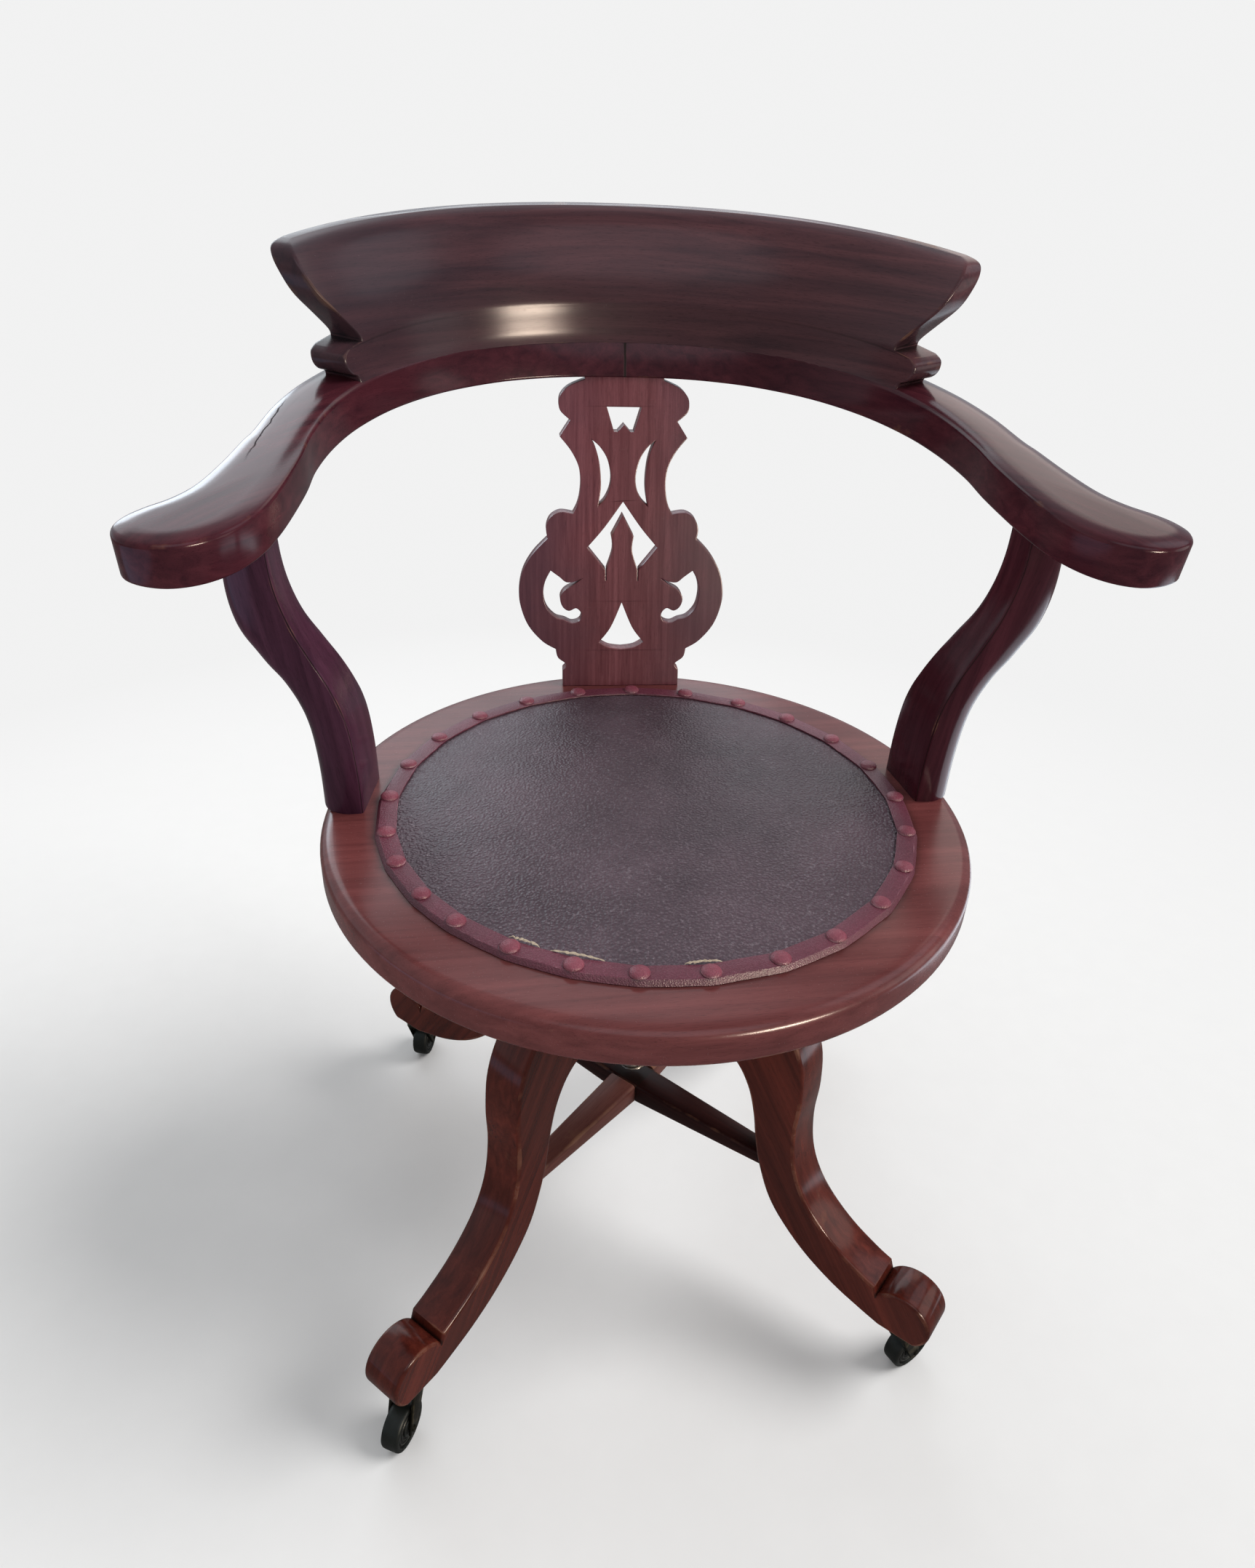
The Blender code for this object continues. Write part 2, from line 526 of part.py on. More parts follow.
def make_seat(seat, wood, panel_wood, leather, band_material, drills):
    """Wooden ring, panel in its opening, crowned leather and the nailed band round it."""
    shoulder = SEAT_RADIUS - SEAT_TOP_ROUNDING
    sole = SEAT_RADIUS - SEAT_LOWER_ROUNDING
    profile = [(SEAT_OPENING, SEAT_TOP), (BAND_RADIUS, SEAT_TOP)]
    profile += arc((shoulder, SEAT_TOP - SEAT_TOP_ROUNDING), SEAT_TOP_ROUNDING, 90, 0, 3)
    profile += arc((sole, SEAT_FLOOR + SEAT_LOWER_ROUNDING), SEAT_LOWER_ROUNDING, 0, -90, 2)
    profile.append((SEAT_OPENING, SEAT_FLOOR))
    ring = finish("seat_ring", turned(profile, 60, ring=True), wood, seat)
    add_boolean(ring, drills, "DIFFERENCE")

    panel_top = SEAT_TOP
    panel_floor = panel_top - PANEL_THICKNESS
    panel_radius = SEAT_OPENING - CLEARANCE
    panel = ((0, panel_top), (panel_radius, panel_top), (panel_radius, panel_floor), (0, panel_floor))
    finish("seat_panel", turned(panel, 48), panel_wood, seat)

    leather_floor = SEAT_TOP + CLEARANCE
    leather_rim = leather_floor + LEATHER_EDGE
    band_inner = BAND_RADIUS - BAND_WIDTH
    tuck = band_inner - BAND_WIDTH / 2
    shares = [i / 6 for i in range(7)]
    dome = [(tuck * share, leather_rim + LEATHER_CROWN * (1 - share ** LEATHER_FULLNESS)) for share in shares]
    dome += [(band_inner, leather_rim), (BAND_RADIUS, leather_rim)]
    dome += [(BAND_RADIUS, leather_floor), (0, leather_floor)]
    finish("seat_leather", turned(dome, 48), leather, seat)

    band_floor = leather_rim + CLEARANCE
    band_top = band_floor + BAND_THICKNESS
    inner = band_inner + CLEARANCE
    strip = ((inner, band_top), (BAND_RADIUS, band_top), (BAND_RADIUS, band_floor), (inner, band_floor))
    band = finish("seat_band", turned(strip, 2 * NAIL_COUNT, ring=True), band_material, seat)
    nails = bmesh.new()
    sunk = -BAND_THICKNESS / 3
    dome = ((0, NAIL_HEIGHT), (0.7 * NAIL_RADIUS, 0.7 * NAIL_HEIGHT), (NAIL_RADIUS, sunk), (0, sunk))
    for i in range(NAIL_COUNT):
        turn = math.tau * (i + 0.5) / NAIL_COUNT
        middle = BAND_RADIUS - BAND_WIDTH / 2
        spot = Vector((middle * math.cos(turn), middle * math.sin(turn), band_top))
        head = turned(dome, 8)
        copy = bpy.data.meshes.new("nail")
        bmesh.ops.translate(head, verts=head.verts[:], vec=spot)
        bmesh.ops.recalc_face_normals(head, faces=head.faces[:])
        head.to_mesh(copy)
        head.free()
        nails.from_mesh(copy)
        bpy.data.meshes.remove(copy)
    add_boolean(band, finish("band_nails", nails, band_material, seat), "UNION")


def bow_point(degrees, offset):
    """Point on the bow's inner edge, moved outwards; 0 degrees is the middle of the back."""
    angle = math.radians(degrees)
    power = 2 / BOW_SQUARENESS
    across = math.copysign(abs(math.sin(angle)) ** power, angle)
    along = max(math.cos(angle), 0.0) ** power
    normal = Vector((
        math.copysign(abs(across) ** (BOW_SQUARENESS - 1), across) / BOW_HALF_WIDTH,
        along ** (BOW_SQUARENESS - 1) / BOW_DEPTH,
    )).normalized()
    return Vector((BOW_HALF_WIDTH * across, BOW_MIDDLE + BOW_DEPTH * along)) + offset * normal


def bow_width(degrees):
    share = math.sin(math.radians(90 * degrees / BOW_STATIONS[-1])) ** 2
    return BOW_WIDTH_BACK + (BOW_WIDTH_SIDE - BOW_WIDTH_BACK) * share


def make_arm(side, seat, material):
    """Half of the bow with its outswept arm; the inner face leans back behind the sitter."""
    sign = 1 if side == "right" else -1
    rings = []
    for level, height in ((-1, -ARM_THICKNESS), (1, 0.0)):
        inner = []
        for station in BOW_STATIONS:
            lean = BOW_LEAN * math.cos(math.radians(90 * station / BOW_STATIONS[-1]))
            inner.append(tuple(bow_point(station, level * lean)))
        outer = [tuple(bow_point(station, bow_width(station))) for station in reversed(BOW_STATIONS)]
        outline = smooth_run(inner + list(ARM_END) + outer)
        rings.append([(sign * max(x, CLEARANCE / 2), y, height) for x, y in outline])
    arm = finish("arm_" + side, lofted(rings), material, seat, (0, 0, ARM_TOP), (ARM_SLOPE, 0, 0))
    add_bevel(arm, ARM_ROUNDING, 2)


def make_crest(seat, material):
    """Crest rail as a stack of curved outlines, each as long as the sawn ends allow at its height."""
    heights, ends = zip(*CREST_END)
    levels, fronts, backs = zip(*CREST_SECTION)
    rings = []
    for height, end in zip(heights, ends):
        front = float(numpy.interp(height, levels, fronts))
        back = float(numpy.interp(height, levels, backs))
        shares = [math.sin(math.radians(90 * i / CREST_STEPS)) for i in range(-CREST_STEPS, CREST_STEPS + 1)]
        ring = []
        for share in shares:
            point = bow_point(share * end - CREST_TURN, front)
            ring.append((point.x, point.y, height + CLEARANCE))
        for share in reversed(shares):
            depth = (back - front) * (1 - CREST_END_THINNING * share ** 2)
            point = bow_point(share * end - CREST_TURN, front + depth)
            ring.append((point.x, point.y, height + CLEARANCE))
        rings.append(ring)
    return finish("crest_rail", lofted(rings), material, seat, (0, 0, ARM_TOP), (ARM_SLOPE, 0, 0))


def arm_underside(y):
    """Height of the arms' lower face at a place along Y."""
    slope = math.radians(ARM_SLOPE)
    return ARM_TOP + y * math.tan(slope) - ARM_THICKNESS / math.cos(slope)


def make_support(side, seat, material):
    """S-shaped post between the seat ring and the arm: flat inside, rounded in front, slimmer to the top."""
    azimuth = math.radians(SUPPORT_AZIMUTH)
    sign = 1 if side == "right" else -1
    floor = SEAT_TOP + CLEARANCE
    foot = BAND_RADIUS + SUPPORT_MARGIN
    sweep = BOW_HALF_WIDTH + SUPPORT_HEAD_INSET - foot
    shares, sweeps = zip(*smooth_run(SUPPORT_LINE))
    slopes = numpy.gradient(sweeps, shares) * sweep / ARM_RISE
    rings = []
    for share, swept, slope in zip(shares, sweeps, slopes):
        distance = foot + swept * sweep
        swell = float(numpy.interp(share, *zip(*SUPPORT_SWELL)))
        thickness = SUPPORT_THICKNESS * swell * math.hypot(1.0, slope)
        depth = SUPPORT_FOOT_DEPTH * float(numpy.interp(share, *zip(*SUPPORT_TAPER)))
        front = SUPPORT_FRONT - float(numpy.interp(share, *zip(*SUPPORT_ADVANCE)))
        ring = []
        for outward, backward in SUPPORT_SECTION:
            radius = distance + outward * thickness
            sideways = front + backward * depth
            x = radius * math.cos(azimuth) - sideways * math.sin(azimuth)
            y = radius * math.sin(azimuth) + sideways * math.cos(azimuth)
            ring.append((sign * x, y, floor + share * (arm_underside(y) - CLEARANCE - floor)))
        rings.append(ring)
    finish("arm_support_" + side, lofted(rings), material, seat)


def make_splat(seat, material):
    """Pierced board from the seat ring to the underside of the bow."""
    outline = mirrored_outline(joined_runs(SPLAT_EDGE))
    holes = [mirrored_outline(joined_runs(edge)) for edge in (WINDOW_EDGE, ARROW_EDGE, FLAME_EDGE)]
    for edge in (SLIT_EDGE, CURL_EDGE):
        right = joined_runs(edge)[:-1]
        holes.append(right)
        holes.append([(-x, y) for x, y in right])
    bm = pierced(outline, holes, SPLAT_THICKNESS)
    foot = BAND_RADIUS + SPLAT_MARGIN
    head = BOW_MIDDLE + BOW_DEPTH - SPLAT_HEAD_INSET
    floor = SEAT_TOP + CLEARANCE
    ceiling = arm_underside(head) - CLEARANCE
    for vert in bm.verts:
        share = vert.co.y / SPLAT_HEIGHT
        vert.co = (vert.co.x, foot + share * (head - foot) + vert.co.z, floor + share * (ceiling - floor))
    finish("back_splat", bm, material, seat)


def build():
    for old in list(bpy.data.objects):
        bpy.data.objects.remove(old, do_unlink=True)

    dark_wood = make_material("polished_mahogany", (0.085, 0.022, 0.016), 0.28)
    crest_wood = make_material("crest_mahogany", (0.070, 0.030, 0.028), 0.30)
    hidden_wood = make_material("plain_hardwood", (0.16, 0.085, 0.050), 0.60)
    leather = make_material("seat_leather", (0.055, 0.038, 0.036), 0.55)
    trim = make_material("band_leather", (0.13, 0.018, 0.028), 0.45)
    iron = make_material("cast_iron", (0.030, 0.030, 0.030), 0.60, 0.8)
    steel = make_material("dull_steel", (0.22, 0.21, 0.20), 0.42, 1.0)
    castor_metal = make_material("aged_brass", (0.12, 0.10, 0.06), 0.45, 0.9)
    wheel_metal = make_material("blackened_iron", (0.030, 0.032, 0.030), 0.50, 0.7)

    chair = make_empty("chair")
    base = make_empty("base_frame", chair, turn=BASE_TURN)
    azimuths = {"front_left": -135, "front_right": -45, "rear_right": 45, "rear_left": 135}
    for corner, azimuth in azimuths.items():
        make_leg(corner, azimuth, base, dark_wood)
        turn = math.radians(azimuth)
        spot = (FOOT_DISTANCE * math.cos(turn), FOOT_DISTANCE * math.sin(turn), 0)
        foot = make_empty("foot_" + corner, base, spot)
        make_castor(corner, foot, castor_metal, wheel_metal)
    make_stretcher("stretcher_front_left", azimuths["rear_right"], 1, base, dark_wood)
    make_stretcher("stretcher_front_right", azimuths["rear_left"], -1, base, dark_wood)
    make_hub(base, dark_wood, iron)

    spindle = make_lift(chair, iron, steel)
    seat = make_empty("seat_swivel", spindle)
    drills = make_spider(seat, iron, steel)
    make_seat(seat, dark_wood, hidden_wood, leather, trim, drills)
    for side in ("left", "right"):
        make_arm(side, seat, dark_wood)
        make_support(side, seat, dark_wood)
    make_splat(seat, dark_wood)
    crest = make_crest(seat, crest_wood)

    # The footprint runs from the front of the seat to the back of the crest.
    slope = math.radians(ARM_SLOPE)
    rear = max(v.co.y * math.cos(slope) - v.co.z * math.sin(slope) for v in crest.data.vertices)
    chair.location.y = (SEAT_RADIUS - rear) / 2


build()
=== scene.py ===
import math

import bmesh
import bpy
import numpy
from mathutils import Matrix, Vector, noise
from mathutils.geometry import interpolate_bezier


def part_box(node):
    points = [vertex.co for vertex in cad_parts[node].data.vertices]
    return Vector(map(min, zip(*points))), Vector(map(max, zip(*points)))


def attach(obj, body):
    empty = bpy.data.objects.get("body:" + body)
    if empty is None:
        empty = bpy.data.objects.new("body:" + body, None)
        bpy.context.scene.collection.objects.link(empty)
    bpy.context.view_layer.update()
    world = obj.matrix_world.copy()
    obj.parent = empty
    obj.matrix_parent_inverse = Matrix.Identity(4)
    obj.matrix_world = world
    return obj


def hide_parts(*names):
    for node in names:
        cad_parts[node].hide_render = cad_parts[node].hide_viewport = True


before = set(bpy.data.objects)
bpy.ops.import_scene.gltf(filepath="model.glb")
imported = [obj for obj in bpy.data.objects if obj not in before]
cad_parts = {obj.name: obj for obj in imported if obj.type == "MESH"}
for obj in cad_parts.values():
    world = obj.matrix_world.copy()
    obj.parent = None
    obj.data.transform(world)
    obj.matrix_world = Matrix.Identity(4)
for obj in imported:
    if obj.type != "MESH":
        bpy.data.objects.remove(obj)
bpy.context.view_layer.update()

spindle_low, spindle_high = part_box("lift_spindle")
axis_y = (spindle_low.y + spindle_high.y) / 2


# Legs: four S-shaped legs of solid mahogany, bandsawn from thick board, their edges rounded over.
# The upper ends are dowelled to the hub block, and each foot ends in a round scrolled toe.
# The polish is dark shellac, worn through to paler wood along the edges.
leg_azimuths = {"front_left": -135, "front_right": -45, "rear_right": 45, "rear_left": 135}
base_turn = 2.3
leg_width, leg_rounding = 0.034, 0.0026
foot_distance, toe_radius, toe_height, toe_flat_height = 0.278, 0.025, 0.0800, 0.0602
toe_start, toe_steps = math.radians(151), 28
leg_grain = Vector((0.55, 0, -0.83))
leg_top_edge = (
    (0.048, 0.334), (0.090, 0.338), (0.126, 0.329), (0.150, 0.308), (0.164, 0.280), (0.168, 0.245),
    (0.167, 0.210), (0.171, 0.178), (0.181, 0.153), (0.196, 0.134), (0.217, 0.117), (0.240, 0.105),
    (0.2535, 0.1000),
)
leg_lower_edge = (
    (0.048, 0.264), (0.085, 0.263), (0.107, 0.254), (0.121, 0.235), (0.129, 0.210), (0.134, 0.182),
    (0.141, 0.156), (0.153, 0.128), (0.170, 0.107), (0.193, 0.088), (0.220, 0.0735), (0.245, 0.065),
    (0.2625, 0.0602),
)
# Near-black tone for the hollows of the wood: partly dirt, partly painted shade.
dirt_and_shade = (0.010, 0.006, 0.005)


def smooth_run(points, steps):
    """Points along a smooth curve through the given ones."""
    knots = [Vector((x, y, 0)) for x, y in points]
    run = []
    for i in range(len(knots) - 1):
        start, end = knots[i], knots[i + 1]
        before, after = knots[max(i - 1, 0)], knots[min(i + 2, len(knots) - 1)]
        handles = start + (end - before) / 6, end - (after - start) / 6
        run += interpolate_bezier(start, *handles, end, steps + 1)[:-1]
    return [point.to_2d() for point in run + knots[-1:]]


def inset_outline(outline, depth):
    """Closed counter-clockwise outline drawn in by a depth square to its edges."""
    moved = []
    for i, point in enumerate(outline):
        arriving = (point - outline[i - 1]).normalized()
        leaving = (outline[(i + 1) % len(outline)] - point).normalized()
        inward = Vector((-arriving.y - leaving.y, arriving.x + leaving.x)).normalized()
        stretch = max(inward.dot(Vector((-arriving.y, arriving.x))), 0.5)
        moved.append(point + inward * (depth / stretch))
    return moved


def rounded_levels(thickness, rounding, steps=4):
    """(inset, height) pairs from the lower face of a board to its upper one, over two rounded edges."""
    flat_margin = 0.0006
    lower = [(rounding + flat_margin, -thickness / 2)]
    for i in range(steps + 1):
        angle = math.radians(90 * i / steps)
        lower.append((rounding * (1 - math.sin(angle)), rounding * (1 - math.cos(angle)) - thickness / 2))
    return lower + [(inset, -height) for inset, height in reversed(lower)]


def new_shape(name, operator, **settings):
    """One of Blender's own shapes, with everything else deselected."""
    bpy.ops.object.select_all(action="DESELECT")
    operator(**settings)
    piece = bpy.context.object
    piece.name = piece.data.name = name
    return piece


def face_outward():
    """Turns all faces of the mesh being edited outwards and leaves edit mode."""
    bpy.ops.mesh.select_all(action="SELECT")
    bpy.ops.mesh.normals_make_consistent(inside=False)
    bpy.ops.object.mode_set(mode="OBJECT")


def stacked(name, rings):
    """Solid drawn up ring by ring from a filled circle, with a flat face at both ends."""
    piece = new_shape(name, bpy.ops.mesh.primitive_circle_add, vertices=len(rings[0]), fill_type="NGON")
    bpy.ops.object.mode_set(mode="EDIT")
    shape = bmesh.from_edit_mesh(piece.data)
    shape.faces.ensure_lookup_table()
    loop = list(shape.faces[0].verts)
    for vert, point in zip(loop, rings[0]):
        vert.co = point
    for ring in rings[1:]:
        bpy.ops.mesh.extrude_region_move()
        raised = {}
        for edge in shape.edges:
            first, second = edge.verts
            if first.select != second.select:
                raised[second if first.select else first] = first if first.select else second
        loop = [raised[vert] for vert in loop]
        for vert, point in zip(loop, ring):
            vert.co = point
    face_outward()
    return piece


def mark_edges(piece, reach):
    """Stores on each point how sharply the surface bends there: above 0 on edges, below 0 in hollows."""
    shape = bmesh.new()
    shape.from_mesh(piece.data)
    bends = [0.0] * len(shape.verts)
    for edge in shape.edges:
        if len(edge.link_faces) != 2 or edge.calc_length() < 1e-7:
            continue
        width = min(face.calc_area() for face in edge.link_faces) / edge.calc_length()
        bend = edge.calc_face_angle_signed(0.0) * reach / max(width, 0.0003)
        for vert in edge.verts:
            if abs(bend) > abs(bends[vert.index]):
                bends[vert.index] = max(-1.0, min(bend, 1.0))
    shape.free()
    layer = piece.data.attributes.new("edge", "FLOAT", "POINT")
    layer.data.foreach_set("value", bends)


def mark_grain(piece, along, board):
    """Stores each point's place in the board it was cut from: first along the grain, then across it."""
    along = Vector(along).normalized()
    across = along.orthogonal().normalized()
    turned = Matrix((along, across, along.cross(across)))
    shift = Vector((0.37, 0.11, 0.23)) * board
    layer = piece.data.attributes.new("grain", "FLOAT_VECTOR", "POINT")
    for vert, spot in zip(piece.data.vertices, layer.data):
        spot.vector = turned @ vert.co + shift


def pick(piece):
    """Makes the piece the only one selected, and the active one."""
    bpy.ops.object.select_all(action="DESELECT")
    piece.select_set(True)
    bpy.context.view_layer.objects.active = piece


def fit(piece, body, slot, finish, *nodes, reach=0.003, grain=None, board=0.0):
    """Marks, smooths and finishes the piece, and sets it on its body in place of the solids."""
    if "edge" not in piece.data.attributes:
        mark_edges(piece, reach)
    if grain is not None:
        mark_grain(piece, grain, board)
    pick(piece)
    bpy.ops.object.shade_smooth_by_angle(angle=math.radians(38))
    piece.data.materials.clear()
    piece.data.materials.append(finish)
    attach(piece, body)
    if nodes:
        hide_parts(*nodes)


def add_node(tree, kind, sockets=None, **settings):
    """Node with its options set and its sockets fed from values or from other nodes."""
    node = tree.nodes.new(kind)
    for key, value in settings.items():
        setattr(node, key, value)
    for key, value in (sockets or {}).items():
        if isinstance(value, bpy.types.NodeSocket):
            tree.links.new(value, node.inputs[key])
        else:
            node.inputs[key].default_value = value
    return node


def math_node(tree, operation, *values):
    return add_node(tree, "ShaderNodeMath", dict(enumerate(values)), operation=operation).outputs[0]


def product(tree, first, second):
    return math_node(tree, "MULTIPLY", first, second)


def add_share(tree, value, share, base):
    """A share of a value added to a base."""
    return math_node(tree, "MULTIPLY_ADD", value, share, base)


def ramp_node(tree, value, low, high, start=0.0, end=1.0):
    """Value carried from one range to another, and kept inside it."""
    sockets = {"Value": value, "From Min": low, "From Max": high, "To Min": start, "To Max": end}
    return add_node(tree, "ShaderNodeMapRange", sockets).outputs["Result"]


def mix_node(tree, share, first, second):
    sockets = {0: share}
    for index, colour in ((6, first), (7, second)):
        sockets[index] = colour if isinstance(colour, bpy.types.NodeSocket) else (*colour, 1.0)
    return add_node(tree, "ShaderNodeMix", sockets, data_type="RGBA").outputs[2]


def noise_node(tree, vector, scale, detail=3.0, roughness=0.55, distortion=0.0):
    sockets = {
        "Vector": vector, "Scale": scale, "Detail": detail, "Roughness": roughness, "Distortion": distortion,
    }
    return add_node(tree, "ShaderNodeTexNoise", sockets).outputs["Fac"]


def new_group(name, inputs, outputs):
    """Empty shader node group with number inputs (name, value) and number outputs."""
    group = bpy.data.node_groups.new(name, "ShaderNodeTree")
    for label, value in inputs:
        group.interface.new_socket(label, in_out="INPUT", socket_type="NodeSocketFloat").default_value = value
    for label in outputs:
        group.interface.new_socket(label, in_out="OUTPUT", socket_type="NodeSocketFloat")
    return group, group.nodes.new("NodeGroupInput").outputs, group.nodes.new("NodeGroupOutput").inputs


def object_place(tree):
    return add_node(tree, "ShaderNodeTexCoord").outputs["Object"]


# Figure of the wood: broad streaks along the grain, short open pores and smoky stains.
mahogany_figure, given, result = new_group("mahogany_figure", [("Streak Width", 0.007)], ["Streaks", "Pores", "Stain"])
tree = mahogany_figure
board_place = add_node(tree, "ShaderNodeAttribute", attribute_name="grain").outputs["Vector"]
fineness = math_node(tree, "DIVIDE", 1.0, given["Streak Width"])
streak_stretch = add_node(
    tree, "ShaderNodeCombineXYZ", {"X": product(tree, fineness, 0.035), "Y": fineness, "Z": fineness}
).outputs[0]
for label, stretch, noise_kind, limits in (
    ("Streaks", streak_stretch, (6.0, 0.62, 0.5), (0.32, 0.68)),
    ("Pores", (130, 2100, 2100), (1.0,), (0.60, 0.72)),
    ("Stain", (4.5, 26, 26), (2.0, 0.5, 0.3), (0.38, 0.66)),
):
    spot = add_node(tree, "ShaderNodeVectorMath", {0: board_place, 1: stretch}, operation="MULTIPLY").outputs[0]
    tree.links.new(ramp_node(tree, noise_node(tree, spot, 1.0, *noise_kind), *limits), result[label])

# Wear: edges rubbed bare in patches, and the hollows darkened, partly dirt and partly painted shade.
edge_wear, given, result = new_group("edge_wear", [("Amount", 0.5), ("Patch Size", 0.03)], ["Worn", "Soiled And Shaded"])
tree = edge_wear
bend = add_node(tree, "ShaderNodeAttribute", attribute_name="edge").outputs["Fac"]
patches = noise_node(tree, object_place(tree), math_node(tree, "DIVIDE", 1.0, given["Patch Size"]), 5.0)
rubbed = math_node(tree, "ADD", bend, add_share(tree, patches, 2.4, -1.2))
limit = math_node(tree, "SUBTRACT", 1.35, given["Amount"])
rubbed = ramp_node(tree, math_node(tree, "SUBTRACT", rubbed, limit), 0.0, 0.5)
tree.links.new(product(tree, rubbed, ramp_node(tree, bend, 0.15, 0.6)), result["Worn"])
# Darker where the surface bends inward: partly dirt, partly painted shade.
tree.links.new(ramp_node(tree, bend, -0.05, -0.7), result["Soiled And Shaded"])

# Handling: smears in the polish and fine dullness, which change the gloss more than the colour.
handling, given, result = new_group("handling", [("Smear Size", 0.06)], ["Smears", "Specks"])
tree = handling
smears = noise_node(tree, object_place(tree), math_node(tree, "DIVIDE", 1.0, given["Smear Size"]), 4.0)
tree.links.new(ramp_node(tree, smears, 0.35, 0.70), result["Smears"])
tree.links.new(ramp_node(tree, noise_node(tree, object_place(tree), 520.0, 2.0), 0.62, 0.75), result["Specks"])


def new_finish(name):
    """Fresh material, its node tree and its shader's sockets."""
    material = bpy.data.materials.new(name)
    material.use_nodes = True
    return material, material.node_tree, material.node_tree.nodes["Principled BSDF"].inputs


def shaded(colour, share):
    return [channel * share for channel in colour]


def layered(tree, colour, *layers):
    """Colour with others laid over it: (mask, how strongly, colour) for each."""
    for mask, strength, other in layers:
        colour = mix_node(tree, product(tree, mask, strength), colour, other)
    return colour


def add_bump(tree, shader, height, strength, distance):
    bump = add_node(tree, "ShaderNodeBump", {"Strength": strength, "Distance": distance, "Height": height})
    tree.links.new(bump.outputs["Normal"], shader["Normal"])


def polished_wood(name, deep, warm, worn, wear=0.4, roughness=0.16, streak_width=0.007, mirror=0.18):
    """French-polished mahogany: streaked and smoky colour, dark pores, paler worn edges, deep gloss."""
    material, tree, shader = new_finish(name)
    figure = add_node(tree, "ShaderNodeGroup", {"Streak Width": streak_width}, node_tree=mahogany_figure).outputs
    rubbing = add_node(tree, "ShaderNodeGroup", {"Amount": wear}, node_tree=edge_wear).outputs
    hands = add_node(tree, "ShaderNodeGroup", node_tree=handling).outputs
    # Hollows are mixed towards near black here: partly dirt, partly painted shade.
    colour = layered(
        tree, mix_node(tree, figure["Streaks"], deep, warm),
        (figure["Stain"], 0.40, shaded(deep, 0.55)), (figure["Pores"], 0.40, shaded(deep, 0.25)),
        (rubbing["Worn"], 0.75, worn), (rubbing["Soiled And Shaded"], 0.75, dirt_and_shade),
    )
    tree.links.new(colour, shader["Base Color"])
    gloss = add_share(tree, rubbing["Worn"], 0.20, add_share(tree, hands["Smears"], 0.04, roughness))
    tree.links.new(add_share(tree, hands["Specks"], 0.06, gloss), shader["Roughness"])
    shader["Specular IOR Level"].default_value = mirror
    add_bump(tree, shader, add_share(tree, figure["Pores"], -0.6, figure["Streaks"]), 0.05, 0.0001)
    return material


on_axis = Matrix.Translation((0, axis_y, 0))


def base_place(azimuth):
    """Turn and shift from a piece laid out along X to its place on the base."""
    return on_axis @ Matrix.Rotation(math.radians(azimuth + base_turn), 4, "Z")


leg_wood = polished_wood(
    "leg_mahogany", (0.050, 0.009, 0.006), (0.120, 0.022, 0.014), (0.20, 0.07, 0.038), 0.42, 0.15, mirror=0.24
)
toe_end = math.asin((toe_flat_height - toe_height) / toe_radius)
toe = [
    Vector((foot_distance + toe_radius * math.cos(a), toe_height + toe_radius * math.sin(a)))
    for a in numpy.linspace(toe_start, toe_end, toe_steps)
]
leg_outline = smooth_run(leg_top_edge, 5) + toe + smooth_run(leg_lower_edge, 5)[::-1]
leg_outline.reverse()
for number, (corner, azimuth) in enumerate(leg_azimuths.items()):
    turn = base_place(azimuth)
    rings = [
        [turn @ Vector((point.x, side, point.y)) for point in inset_outline(leg_outline, inset)]
        for inset, side in rounded_levels(leg_width, leg_rounding)
    ]
    leg = stacked(corner + "_leg", rings)
    grain = turn.to_3x3() @ leg_grain
    fit(leg, "base", "polished_mahogany", leg_wood, "leg_" + corner, grain=grain, board=number)


# Stretchers: two mahogany bars that brace opposite legs, tapered to their ends.
# They are halved into each other where they cross, and pinned to the backs of the legs.
gap = 0.0003
bar_top, bar_rounding = 0.160, 0.0032
bar_thickness, bar_end_thickness = 0.020, 0.012
bar_half_width, bar_end_half_width = 0.0135, 0.009
bar_shares = (0.02, 0.25, 0.5, 0.75, 0.98)


def read_off(run, place):
    """Second number of a run of pairs, at a place along the first."""
    return float(numpy.interp(place, *zip(*run)))


def bar_ring(along, top, floor, half_width, slant=0.0):
    """Rounded section of a bar at a place along it."""
    middle, half_height = (top + floor) / 2, (top - floor) / 2
    radius = min(bar_rounding, half_height * 0.6)
    ring = []
    for corner, (side, rise) in enumerate(((1, 1), (-1, 1), (-1, -1), (1, -1))):
        for step in range(4):
            angle = math.radians(90 * corner + 30 * step)
            across = side * (half_width - radius) + radius * math.cos(angle)
            height = middle + rise * (half_height - radius) + radius * math.sin(angle)
            ring.append(Vector((along + slant * (height - middle) / (2 * half_height), across, height)))
    return ring
